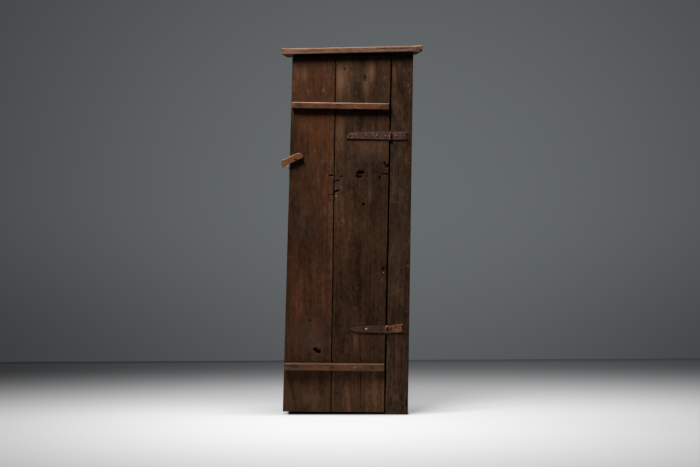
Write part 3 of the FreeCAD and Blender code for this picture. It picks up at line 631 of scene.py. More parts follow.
class Value:
    """What comes out of one shader socket, ready for sums."""

    def __init__(self, graph, socket):
        self.graph = graph
        self.socket = socket

    def __add__(self, other):
        return self.graph.math("ADD", self, other)

    def __sub__(self, other):
        return self.graph.math("SUBTRACT", self, other)

    def __rsub__(self, other):
        return self.graph.math("SUBTRACT", other, self)

    def __mul__(self, other):
        return self.graph.math("MULTIPLY", self, other)

    def __truediv__(self, other):
        return self.graph.math("DIVIDE", self, other)

    __radd__ = __add__
    __rmul__ = __mul__

    def held(self):
        """The same sum, kept between 0 and 1."""
        self.socket.node.use_clamp = True
        return self


class Graph:
    """Places and joins the nodes of one shader tree."""

    def __init__(self, tree):
        self.tree = tree

    def feed(self, socket, value):
        """Joins a socket to a value, or sets its number or colour."""
        if isinstance(value, Value):
            self.tree.links.new(value.socket, socket)
        else:
            socket.default_value = value

    def node(self, kind, values=(), **settings):
        """Adds one node with its settings and inputs."""
        made = self.tree.nodes.new(kind)
        for name, value in settings.items():
            setattr(made, name, value)
        for name, value in dict(values).items():
            self.feed(made.inputs[name], value)
        return made

    def value(self, kind, values=(), output=0, **settings):
        """What one new node puts out."""
        return Value(self, self.node(kind, values, **settings).outputs[output])

    def math(self, operation, first, second=0.0):
        """One sum on two values."""
        return self.value("ShaderNodeMath", {0: first, 1: second}, operation=operation)

    def grain(self, vector, scales, detail, roughness):
        """Noise drawn out by three scales."""
        drawn = self.value("ShaderNodeMapping", {"Vector": vector, "Scale": scales})
        return self.value("ShaderNodeTexNoise", {"Vector": drawn, "Scale": 1.0, "Detail": detail,
                                                 "Roughness": roughness})

    def between(self, value, low, high):
        """A mask that rises smoothly from 0 at low to 1 at high."""
        return self.value("ShaderNodeMapRange", {0: value, 1: low, 2: high},
                          interpolation_type="SMOOTHSTEP")

    def shows(self, value, rise_and_share):
        """How strongly a layer shows, from where it rises and its share."""
        rises, share = rise_and_share
        return self.between(value, *rises) * share

    def blend(self, factor, first, second, mode="MIX"):
        """Two colours mixed by a mask."""
        return self.value("ShaderNodeMix", {0: factor, 6: first, 7: second}, 2, data_type="RGBA",
                          blend_type=mode)

    def tint(self, factor, colour, cast):
        """A colour multiplied by a cast where a mask says so."""
        return self.blend(factor, colour, cast + (1.0,), "MULTIPLY")

    def combine(self, kind, parts):
        """Three values made one vector or colour."""
        return self.value(f"ShaderNodeCombine{kind}", enumerate(parts))

    def attribute(self, name):
        """A number stored on the piece's points."""
        return self.value("ShaderNodeAttribute", output="Fac", attribute_name=name)

    def bell(self, values, shape):
        """A soft rise round the middles of a shape, which has a middle and a spread for each value."""
        aways = [(value - middle) / spread for value, (middle, spread) in zip(values, shape)]
        return self.math("POWER", math.e, sum(away * away for away in aways) * -1.0)


def new_group(name, inputs, outputs):
    """An empty shader node group with named sockets."""
    tree = bpy.data.node_groups.new(name, "ShaderNodeTree")
    for way, sockets in (("INPUT", inputs), ("OUTPUT", outputs)):
        for label, kind in sockets.items():
            tree.interface.new_socket(name=label, in_out=way, socket_type=f"NodeSocket{kind}")
    graph = Graph(tree)
    given = {socket.name: Value(graph, socket) for socket in graph.node("NodeGroupInput").outputs}
    return graph, given, graph.node("NodeGroupOutput").inputs


# Noise in the wood: scale across and along the grain, detail, roughness.
WOOD_LAYERS = {
    "field": (8.0, 0.5, 1.0, 0.4), "fibre": (420.0, 10.0, 3.0, 0.6), "streak": (40.0, 1.1, 3.0, 0.6),
    "cloud": (5.0, 1.7, 3.0, 0.55), "hue": (13.0, 0.9, 2.0, 0.5), "thread": (130.0, 6.0, 2.0, 0.5),
    "mottle": (75.0, 42.0, 4.0, 0.65), "blotch": (20.0, 6.0, 4.0, 0.6), "nick": (180.0, 120.0, 2.0, 0.5),
    "scuff": (90.0, 22.0, 3.0, 0.6), "grime": (22.0, 7.0, 4.0, 0.6),
}
TONE_SHARES = {"streak": 0.38, "thread": 0.5, "mottle": 1.1, "blotch": 1.05, "fibre": 0.42, "cloud": 0.8}
SEED_SHIFTS = (3.1, 1.7, 2.3)
RING_COUNT, RING_BEND, RING_RISE, LATE_SHARE = 95.0, 0.22, (0.2, 0.95), 0.10
DARK_TONES, LIGHT_TONES, RED_HUES = (0.05, 0.5), (0.5, 0.95), (0.5, 0.75)
# How streaks break up the tints: gain and middle; how much pale wood shows; grain of the rubbed edges and
# their painted highlight.
STREAK_GAIN, STREAK_MIDDLE, PALE_SHARE = 1.6, 0.95, 0.55
THREAD_GAIN, THREAD_LEAST = 0.9, 0.5
# Where nicks, pores, grime and dust rise, and their shares.
PALE_NICKS, DARK_NICKS = ((0.62, 0.74), 0.13), ((0.38, 0.26), 0.6)
PORES, GRIME, SETTLED = ((0.57, 0.72), 0.4), ((0.5, 0.72), 0.5), ((0.3, 0.62), 0.6)
# Where edges begin to be scuffed, what the Rubbed input takes off that, and how far they rise.
SCUFF_START, SCUFF_SHARE, SCUFF_RISE = 0.72, 0.6, 0.25
WOOD_ROUGH, STREAK_ROUGH, DARK_ROUGH = 0.72, -0.2, 0.2
FIBRE_HEIGHT, LATE_HEIGHT, STREAK_HEIGHT = -0.5, 0.2, 0.3
# Casts that a mask multiplies a colour with, the grey of weathered wood and settled dust.
RED_CAST, EMBER_CAST, TAN_CAST = (1.42, 0.86, 0.72), (1.42, 1.0, 0.68), (1.0, 0.8, 0.62)
NICK_CAST, PORE_CAST, GRIME_CAST = (0.3, 0.28, 0.26), (0.45, 0.42, 0.4), (0.5, 0.48, 0.46)
DARK_CAST, PIT_CAST = (0.05, 0.045, 0.04), (0.2, 0.17, 0.15)
ASH_SHARES = (1.25, 1.02, 0.82)
DUST = (0.075, 0.064, 0.056, 1.0)


def aged_wood_group():
    """Grain, streaks, stains and rubbed edges of old brown wood that runs along Z."""
    graph, given, put = new_group(
        "aged_wood",
        {"Vector": "Vector", "Shade": "Color", "Body": "Color", "Glow": "Color", "Bare": "Color",
         "Figure": "Float", "Redness": "Float", "Rubbed": "Float"},
        {"Color": "Color", "Roughness": "Float", "Height": "Float"},
    )
    seed = graph.attribute("seed")
    shift = graph.combine("XYZ", [seed * factor for factor in SEED_SHIFTS])
    place = graph.value("ShaderNodeVectorMath", {0: given["Vector"], 1: shift}, operation="ADD")
    layer = {name: graph.grain(place, (across, across, along), detail, roughness)
             for name, (across, along, detail, roughness) in WOOD_LAYERS.items()}
    rings = (layer["field"] + graph.attribute("bend") * RING_BEND) * RING_COUNT
    late = graph.between(graph.math("SINE", rings), *RING_RISE)
    swing = sum((layer[name] - 0.5) * share for name, share in TONE_SHARES.items()) - late * LATE_SHARE
    tone = swing * given["Figure"] + 0.5
    colour = graph.blend(graph.between(tone, *DARK_TONES), given["Shade"], given["Body"])
    colour = graph.blend(graph.between(tone, *LIGHT_TONES), colour, given["Glow"])
    broken = (layer["streak"] - 0.5) * STREAK_GAIN + STREAK_MIDDLE
    warm = graph.between(layer["hue"], *RED_HUES) * given["Redness"] + graph.attribute("red") * broken
    colour = graph.tint(warm.held(), colour, RED_CAST)
    colour = graph.tint((graph.attribute("ember") * broken).held(), colour, EMBER_CAST)
    plain = graph.value("ShaderNodeRGBToBW", {"Color": colour})
    ash = graph.combine("Color", [plain * factor for factor in ASH_SHARES])
    colour = graph.blend(graph.attribute("grey"), colour, ash)
    tanned = graph.tint(1.0, given["Bare"], TAN_CAST)
    colour = graph.blend((graph.attribute("pale") * (broken * PALE_SHARE)).held(), colour, tanned)
    colour = graph.blend(graph.shows(layer["nick"], PALE_NICKS), colour, tanned)
    colour = graph.tint(graph.shows(layer["nick"], DARK_NICKS), colour, NICK_CAST)
    start = SCUFF_START - given["Rubbed"] * SCUFF_SHARE
    scuffed = graph.attribute("worn") * graph.between(layer["scuff"], start, start + SCUFF_RISE)
    # Flaked and rubbed wood, with a painted highlight on edges that face up and forward.
    bared_and_lit = graph.attribute("bare") * (layer["thread"] * THREAD_GAIN + THREAD_LEAST)
    colour = graph.blend(graph.math("MAXIMUM", scuffed, bared_and_lit).held(), colour, given["Bare"])
    colour = graph.tint(graph.shows(layer["fibre"], PORES), colour, PORE_CAST)
    colour = graph.tint(graph.shows(layer["grime"], GRIME), colour, GRIME_CAST)
    colour = graph.blend(graph.attribute("dust") * graph.shows(layer["blotch"], SETTLED), colour, DUST)
    dark = graph.attribute("dark")
    graph.feed(put["Color"], graph.tint(dark, colour, DARK_CAST))
    rough = layer["streak"] * STREAK_ROUGH + WOOD_ROUGH + dark * DARK_ROUGH
    graph.feed(put["Roughness"], rough.held())
    height = layer["fibre"] * FIBRE_HEIGHT - late * LATE_HEIGHT + layer["streak"] * STREAK_HEIGHT
    graph.feed(put["Height"], height)
    return graph.tree


def shared(colour, share=1.0):
    """A colour made darker or lighter by one share, with its alpha."""
    return tuple(channel * share for channel in colour) + (1.0,)


def new_finish(name):
    """A material with its Principled shader and Object coordinates."""
    material = bpy.data.materials.new(name)
    material.use_nodes = True
    graph = Graph(material.node_tree)
    shader = material.node_tree.nodes["Principled BSDF"]
    return material, graph, shader, graph.value("ShaderNodeTexCoord", output="Object")


def grouped_finish(name, tree, values, turn, relief, gloss):
    """A material whose colour, roughness and relief come from one node group."""
    material, graph, shader, place = new_finish(name)
    turned = graph.value("ShaderNodeMapping", {"Vector": place, "Rotation": turn})
    made = graph.node("ShaderNodeGroup", {"Vector": turned, **values}, node_tree=tree)
    given = {socket.name: Value(graph, socket) for socket in made.outputs}
    strength, distance = relief
    bump = {"Strength": strength, "Distance": distance, "Height": given.pop("Height")}
    graph.feed(shader.inputs["Normal"], graph.value("ShaderNodeBump", bump, "Normal"))
    graph.feed(shader.inputs["Base Color"], given.pop("Color"))
    for label, value in given.items():
        graph.feed(shader.inputs[label], value)
    shader.inputs["Specular IOR Level"].default_value = gloss
    return material


GRAIN_TURNS = {X: (0.0, math.radians(-90), 0.0), Y: (math.radians(90), 0.0, 0.0), Z: (0.0, 0.0, 0.0)}
GRAIN_NAMES = {X: "level", Y: "deep", Z: "upright"}
SHADE_SHARE, GLOW_SHARE = 0.4, 2.1
# Relief is how strong and how deep the bumps are.
WOOD_RELIEF, WOOD_GLOSS = (0.6, 0.0012), 0.04
IRON_RELIEF, IRON_GLOSS = (0.5, 0.0006), 0.2
# Figure, redness and rubbed edges of each wood.
WOOD_LOOKS = {
    "door_left_wood": (0.92, 0.5, 0.35), "door_right_wood": (1.1, 0.22, 0.3), "stile_wood": (1.35, 0.2, 0.3),
    "batten_wood": (1.15, 0.35, 0.85), "top_wood": (0.8, 0.25, 0.7), "side_wood": (1.0, 0.3, 0.35),
    "back_wood": (1.0, 0.1, 0.3), "inner_wood": (1.0, 0.1, 0.4), "button_wood": (0.8, 0.35, 0.7),
}
# Body colour and share of rust of each iron.
IRON_LOOKS = {"upper_iron": ("upper", 0.3), "lower_iron": ("lower", 0.16), "rusty_iron": ("upper", 0.48),
              "nail_iron": ("nail", 0.25)}


def wood_finish(slot, grain):
    """The aged wood of one slot, with its grain along one axis."""
    name = f"{slot}_{GRAIN_NAMES[grain]}"
    if name in bpy.data.materials:
        return bpy.data.materials[name]
    wood = bpy.context.scene.cupboard_wood
    body = getattr(wood, slot.removesuffix("_wood"))
    figure, redness, rubbed = WOOD_LOOKS[slot]
    values = {"Shade": shared(body, SHADE_SHARE), "Body": shared(body), "Glow": shared(body, GLOW_SHARE),
              "Bare": shared(wood.bare), "Figure": figure, "Redness": redness, "Rubbed": rubbed}
    tree = bpy.data.node_groups.get("aged_wood") or aged_wood_group()
    return grouped_finish(name, tree, values, GRAIN_TURNS[grain], WOOD_RELIEF, WOOD_GLOSS)


# Noise in the iron: scale, detail, roughness.
IRON_LAYERS = {"patch": (55.0, 5.0, 0.65), "speck": (320.0, 3.0, 0.6), "pits": (130.0, 3.0, 0.6)}
PIT_RISE, PIT_SHARE, PIT_HEIGHT = (0.52, 0.66), 0.85, 0.8
# Where rust begins without the Rusting input, and how far it rises.
RUST_START, RUST_RISE = 0.85, 0.18
SPECK_TONE, PATCH_TONE, TONE_DROP = 2.2, 1.6, 0.9
EDGE_RUB = ((0.42, 0.6), 0.12)
IRON_ROUGH, RUST_ROUGH, POLISH_ROUGH, METAL_SHARE = 0.55, 0.2, 0.25, 0.6


def forged_iron_group():
    """Browned, rusted and rubbed iron."""
    graph, given, put = new_group(
        "forged_iron",
        {"Vector": "Vector", "Iron": "Color", "Rust": "Color", "Bright": "Color", "Rusting": "Float"},
        {"Color": "Color", "Roughness": "Float", "Metallic": "Float", "Height": "Float"},
    )
    patch, speck, pits = (graph.grain(given["Vector"], (scale,) * 3, detail, roughness)
                          for scale, detail, roughness in IRON_LAYERS.values())
    pits = graph.between(pits, *PIT_RISE)
    low = RUST_START - given["Rusting"]
    rusty = graph.math("MAXIMUM", graph.between(patch, low, low + RUST_RISE), graph.attribute("rust"))
    colour = graph.blend(rusty, given["Iron"], given["Rust"])
    tone = speck * SPECK_TONE + patch * PATCH_TONE - TONE_DROP
    colour = graph.blend(1.0, colour, graph.combine("Color", (tone, tone, tone)), "MULTIPLY")
    colour = graph.tint(pits * PIT_SHARE, colour, PIT_CAST)
    # Rubbed iron with a painted highlight on the keeper's tip and the bright nails.
    polish = graph.attribute("polish")
    rub = graph.attribute("worn") * graph.shows(patch, EDGE_RUB)
    bright = graph.math("MAXIMUM", polish, rub).held()
    graph.feed(put["Color"], graph.blend(bright, colour, given["Bright"]))
    graph.feed(put["Roughness"], rusty * RUST_ROUGH + IRON_ROUGH - polish * POLISH_ROUGH)
    graph.feed(put["Metallic"], bright * METAL_SHARE)
    graph.feed(put["Height"], speck - pits * PIT_HEIGHT)
    return graph.tree


def iron_finish(look):
    """Forged iron of one look."""
    name = f"{look}_forged"
    if name in bpy.data.materials:
        return bpy.data.materials[name]
    iron = bpy.context.scene.cupboard_iron
    colour_name, rusting = IRON_LOOKS[look]
    values = {"Iron": shared(getattr(iron, colour_name)), "Rust": shared(iron.rust),
              "Bright": shared(iron.bright), "Rusting": rusting}
    tree = bpy.data.node_groups.get("forged_iron") or forged_iron_group()
    return grouped_finish(name, tree, values, GRAIN_TURNS[Z], IRON_RELIEF, IRON_GLOSS)


class CUPBOARD_OT_door(bpy.types.Operator):
    """Makes the two door boards with their knots, holes and cracks"""

    bl_idname = "cupboard.door"
    bl_label = "Door boards"

    def execute(self, context):
        step = context.scene.cupboard_wood.fine_step
        worn_board("door_left_board", "door_left_wood", Z, 1.0, step, DOOR_LEFT_MARKS)
        worn_board("door_right_board", "door_right_wood", Z, 2.0, step, DOOR_RIGHT_MARKS)
        return {"FINISHED"}


class CUPBOARD_OT_stile(bpy.types.Operator):
    """Makes the fixed upright beside the door"""

    bl_idname = "cupboard.stile"
    bl_label = "Stile"

    def execute(self, context):
        step = context.scene.cupboard_wood.fine_step
        worn_board("front_stile", "stile_wood", Z, 3.0, step, STILE_MARKS)
        return {"FINISHED"}


class CUPBOARD_OT_battens(bpy.types.Operator):
    """Makes the two battens across the door"""

    bl_idname = "cupboard.battens"
    bl_label = "Battens"

    def execute(self, context):
        step = context.scene.cupboard_wood.level_step
        worn_board("top_batten", "batten_wood", X, 4.0, step, TOP_BATTEN_MARKS, arris=0.0052)
        worn_board("bottom_batten", "batten_wood", X, 5.0, step, BOTTOM_BATTEN_MARKS, arris=0.0021)
        return {"FINISHED"}


class CUPBOARD_OT_case(bpy.types.Operator):
    """Makes the boards of the top, the sides and the back"""

    bl_idname = "cupboard.case"
    bl_label = "Case boards"

    def execute(self, context):
        wood = context.scene.cupboard_wood
        worn_board("top_front_board", "top_wood", X, 6.0, wood.level_step, TOP_MARKS, arris=0.0055,
                   dish=0.003)
        worn_board("top_rear_board", "top_wood", X, 7.0, wood.plain_step)
        sides = [f"{side}_side_{place}_board" for side in ("left", "right") for place in ("front", "rear")]
        for seed, node in enumerate(sides):
            worn_board(node, "side_wood", Z, 8.0 + seed, wood.plain_step)
        for seed, place in enumerate(("left", "middle", "right")):
            worn_board(f"back_{place}_board", "back_wood", Z, 12.0 + seed, wood.plain_step)
        return {"FINISHED"}


class CUPBOARD_OT_inside(bpy.types.Operator):
    """Makes the rails, the bottom, the shelves and their cleats"""

    bl_idname = "cupboard.inside"
    bl_label = "Inside"

    def execute(self, context):
        step = context.scene.cupboard_wood.plain_step
        levels = ("bottom", "lower_shelf", "middle_shelf", "upper_shelf")
        boards = [f"{level}_{place}_board" for level in levels for place in ("front", "rear")]
        for seed, node in enumerate(["top_front_rail", "bottom_front_rail"] + boards):
            worn_board(node, "inner_wood", X, 15.0 + seed, step)
        cleats = [f"{level}_{side}_cleat" for level in ("bottom", "lower", "middle", "upper")
                  for side in ("left", "right")]
        for seed, node in enumerate(cleats):
            worn_board(node, "inner_wood", Y, 26.0 + seed, step)
        return {"FINISHED"}


HINGE_LOOKS = {"upper_hinge_strap": "upper_iron", "upper_hinge_stile_leaf": "upper_iron",
               "upper_hinge_pin": "upper_iron", "lower_hinge_strap": "lower_iron",
               "lower_hinge_stile_leaf": "rusty_iron", "lower_hinge_pin": "rusty_iron"}


class CUPBOARD_OT_hinges(bpy.types.Operator):
    """Makes the forged straps, leaves and pins of the two hinges"""

    bl_idname = "cupboard.hinges"
    bl_label = "Hinges"

    def execute(self, context):
        iron = context.scene.cupboard_iron
        for seed, (node, look) in enumerate(HINGE_LOOKS.items()):
            worked_piece(node, iron_finish(look), iron.voxel, iron.dent, dent_scale=60.0,
                         seed=40.0 + seed)
        return {"FINISHED"}


# Middle and reach of the keeper's rubbed tip, which carries a painted highlight.
KEEPER_HIGHLIGHT = ((-0.2755, -0.249, 1.1285), 0.0070)


class CUPBOARD_OT_latch(bpy.types.Operator):
    """Makes the whittled turn button, its pivot nail and the keeper"""

    bl_idname = "cupboard.latch"
    bl_label = "Latch"

    def execute(self, context):
        nail = iron_finish("nail_iron")
        worked_piece("turn_button", wood_finish("button_wood", X), voxel=0.0012,
                     dent=0.0012, dent_scale=45.0, seed=50.0, rubbed=True)
        worked_piece("button_pivot_nail", nail, voxel=0.0006, dent=0.0004,
                     dent_scale=200.0, seed=51.0)
        worked_piece("latch_keeper", nail, voxel=0.0008, dent=0.0005,
                     dent_scale=120.0, seed=52.0, bright=[KEEPER_HIGHLIGHT])
        return {"FINISHED"}


NAIL_GROUPS = ("batten_nails", "strap_nails", "stile_leaf_nails", "stile_nails", "top_nails",
               "back_nails", "left_side_nails", "right_side_nails")
# Across and up of the nails that are rubbed bright and carry a painted highlight, with how bright.
BRIGHT_NAILS = ((0.066, 0.394, 0.55), (0.133, 1.39, 0.12), (0.115, 1.263, 0.12), (0.011, 0.223, 0.15))
# Across and up of the nails that are rusted, with how much.
RUSTY_NAILS = ((0.154, 1.262, 0.9), (0.201, 1.262, 0.8), (0.067, 1.265, 0.6), (0.232, 0.38, 0.7))
SPOT_REACH = 0.016
# How much narrower and lower than its CAD nail a nail may be.
HEAD_SHAKE, HEAD_HEIGHT_SHARES = 0.12, (0.88, 1.0)
LEVEL_GAP = 2e-5


def nail_pattern():
    """One forged nail of unit width: a faceted head on a tapering square shank."""
    bpy.ops.object.select_all(action="DESELECT")
    bpy.ops.mesh.primitive_cone_add(vertices=8, radius1=0.5, radius2=0.2, depth=1.0,
                                    location=(0.0, 0.0, 0.5))
    pattern = bpy.context.object
    bpy.ops.object.transform_apply(location=True, rotation=True, scale=True)
    with editing(pattern, "FACE") as mesh:
        for face in mesh.faces:
            face.select_set(face.normal.z < -STRAIGHT_SHARE)
        bpy.ops.mesh.inset(thickness=0.3)
        bpy.ops.mesh.extrude_region_move(TRANSFORM_OT_translate={"value": (0.0, 0.0, -1.0)})
        bpy.ops.transform.resize(value=(0.4, 0.4, 1.0))
    with editing(pattern, "EDGE") as mesh:
        for edge in mesh.edges:
            edge.select_set(min(vertex.co.z for vertex in edge.verts) > -0.01
                            and edge.calc_face_angle(0.0) > 0.2)
        bpy.ops.mesh.bevel(offset=0.05, segments=2, affect="EDGES")
    return pattern


def nail_islands(node):
    """The points of each separate nail in one CAD node."""
    mesh = bmesh.new()
    mesh.from_mesh(frame["nodes"][node].data)
    bmesh.ops.remove_doubles(mesh, verts=mesh.verts, dist=MERGE_GAP)
    left = set(mesh.verts)
    islands = []
    while left:
        found, edge_of = set(), [min(left, key=lambda vertex: vertex.index)]
        while edge_of:
            vertex = edge_of.pop()
            if vertex in found:
                continue
            found.add(vertex)
            edge_of.extend(edge.other_vert(vertex) for edge in vertex.link_edges)
        left -= found
        islands.append(np.array([vertex.co for vertex in found]))
    mesh.free()
    return islands


def nail_stance(points):
    """Middle under the head, way out, head width, head height and shank length of one nail."""
    low, high = points.min(axis=0), points.max(axis=0)
    axis = int(np.argmax(high - low))
    levels = np.unique(np.round(points[:, axis], 5))
    rings = [points[np.abs(points[:, axis] - level) < LEVEL_GAP] for level in levels]
    widths = [np.delete(ring.max(axis=0) - ring.min(axis=0), axis).max() for ring in rings]
    widest = int(np.argmax(widths))
    base = levels[widest]
    outward = 1.0 if high[axis] - base < base - low[axis] else -1.0
    way = Vector((0.0, 0.0, 0.0))
    way[axis] = outward
    end, tip = (low[axis], high[axis]) if outward > 0 else (high[axis], low[axis])
    return Vector(rings[widest].mean(axis=0)), way, max(widths), abs(tip - base), abs(base - end)


class CUPBOARD_OT_nails(bpy.types.Operator):
    """Makes every forged nail, each a little different"""

    bl_idname = "cupboard.nails"
    bl_label = "Nails"

    def execute(self, context):
        pattern = nail_pattern()
        draw = random.Random(7)
        for node in NAIL_GROUPS:
            copies = [self.nail(context, pattern, nail_stance(points), draw)
                      for points in nail_islands(node)]
            only(copies[0])
            for copy in copies[1:]:
                copy.select_set(True)
            if len(copies) > 1:
                bpy.ops.object.join()
            group = context.view_layer.objects.active
            group.name = f"worn_{node}"
            group.data.name = group.name
            smooth(group, 30.0)
            settle(group, node, iron_finish("nail_iron"))
        bpy.data.objects.remove(pattern)
        return {"FINISHED"}

    def nail(self, context, pattern, stance, draw):
        """One copy of the pattern, set where a CAD nail is."""
        middle, way, width, head, shank = stance
        copy = pattern.copy()
        copy.data = pattern.data.copy()
        context.scene.collection.objects.link(copy)
        spin = Matrix.Rotation(draw.uniform(0.0, math.tau), 4, "Z")
        turn = UP.rotation_difference(way).to_matrix().to_4x4()
        for vertex in copy.data.vertices:
            place = vertex.co.copy()
            shake = 1.0 + draw.uniform(-HEAD_SHAKE, 0.0)
            place.x, place.y = place.x * shake * width, place.y * shake * width
            place.z *= head * draw.uniform(*HEAD_HEIGHT_SHARES) if place.z > 0.0 else shank
            vertex.co = middle + turn @ spin @ place
        count = len(copy.data.vertices)
        for name, spots in (("polish", BRIGHT_NAILS), ("rust", RUSTY_NAILS)):
            share = max(much * (math.hypot(middle.x - x, middle.z - z) < SPOT_REACH) for x, z, much in spots)
            set_attribute(copy, name, np.full(count, share if way.y < 0.0 else 0.0))
        set_attribute(copy, "seed", np.full(count, draw.random()))
        return copy


BLACK = (0.0, 0.0, 0.0, 1.0)
STAGE_SIZE, FLOOR_DROP, BACKDROP_SINK = 40.0, 0.0004, 0.01
LAMP_AIM = Vector((0.0, -0.2, 0.9))
# The floor goes from deep to pale between two depths, in a bow round a middle: painted light that falls off
# towards the backdrop.
FADE_DEPTHS, FADE_POWER = (1.02, -0.25), 1.4
BOW_MIDDLE, BOW_SHARE, BOW_MOST = 0.45, 0.0265, 0.2
# Soft shapes on the floor, with a middle and a spread across and in depth, and their least or their share: a
# painted pool of light, painted shade round the cupboard, a painted lit middle far back, painted shadow
# beside the cupboard's feet, and where the floor throws most light back.
LIGHT_POOL, LIGHT_POOL_LEAST = ((0.12, 2.45), (-0.35, 1.25)), 0.3
SIDE_SHADE, SIDE_SHADE_SHARE = ((0.03, 0.7), (0.06, 0.2)), 0.25
FAR_LIGHT, FAR_LIGHT_LEAST = ((0.45, 2.4),), 0.4
FOOT_SHADE, FOOT_SHADE_SHARE = ((0.03, 0.42), (-0.17, 0.12)), 0.46
NEAR, NEAR_LEAST_SHARE = ((0.0, 0.85), (-0.5, 0.62)), 0.06
# The painted shadow at the foot starts at an edge that slants back on the right.
FOOT_EDGE, SLANT_START, SLANT_SHARE = (-0.27, -0.215), 0.24, 0.3
# The painted shade along the floor before the backdrop, from its start to full, and its share.
SEAM_SHADE_REACHES, SEAM_SHADE_SHARE = (0.09, 0.03), 0.3
UNDER_OUT, UNDER_IN = 0.008, 0.004
DEEP_GLOW_SHARE = 0.95
# The lit middle of the backdrop, its spread across and what that gains higher up, then the same upwards.
GLOW_ACROSS, GLOW_UP = 0.27, 0.9
GLOW_WIDE, GLOW_WIDER, GLOW_BELOW, GLOW_ABOVE = 1.8, 0.5, 1.35, 0.6


def stage_plane(name, place, turn):
    """A large flat sheet of the studio."""
    bpy.ops.object.select_all(action="DESELECT")
    bpy.ops.mesh.primitive_plane_add(size=STAGE_SIZE, location=place, rotation=turn)
    plane = bpy.context.object
    plane.name = name
    bpy.ops.object.transform_apply(location=True, rotation=True, scale=True)
    return plane


def stage_paint(plane, look, studio):
    """Paints a sheet with the surface that look makes."""
    material, graph, shader, place = new_finish(f"{plane.name}_paint")
    parts = graph.node("ShaderNodeSeparateXYZ", {"Vector": place}).outputs
    surface = look(studio, graph, shader, [Value(graph, part) for part in parts])
    graph.feed(material.node_tree.nodes["Material Output"].inputs["Surface"], surface)
    plane.data.materials.append(material)


def shown(graph, shader, look):
    """One look for the rays by which the camera sees a surface, straight or in a reflection."""
    path = graph.node("ShaderNodeLightPath").outputs
    straight, gloss, through = (Value(graph, path[f"Is {ray} Ray"])
                                for ray in ("Camera", "Glossy", "Transmission"))
    seen = graph.math("MAXIMUM", graph.math("MAXIMUM", straight, gloss), through)
    return graph.value("ShaderNodeMixShader", {0: seen, 1: Value(graph, shader.outputs[0]), 2: look})


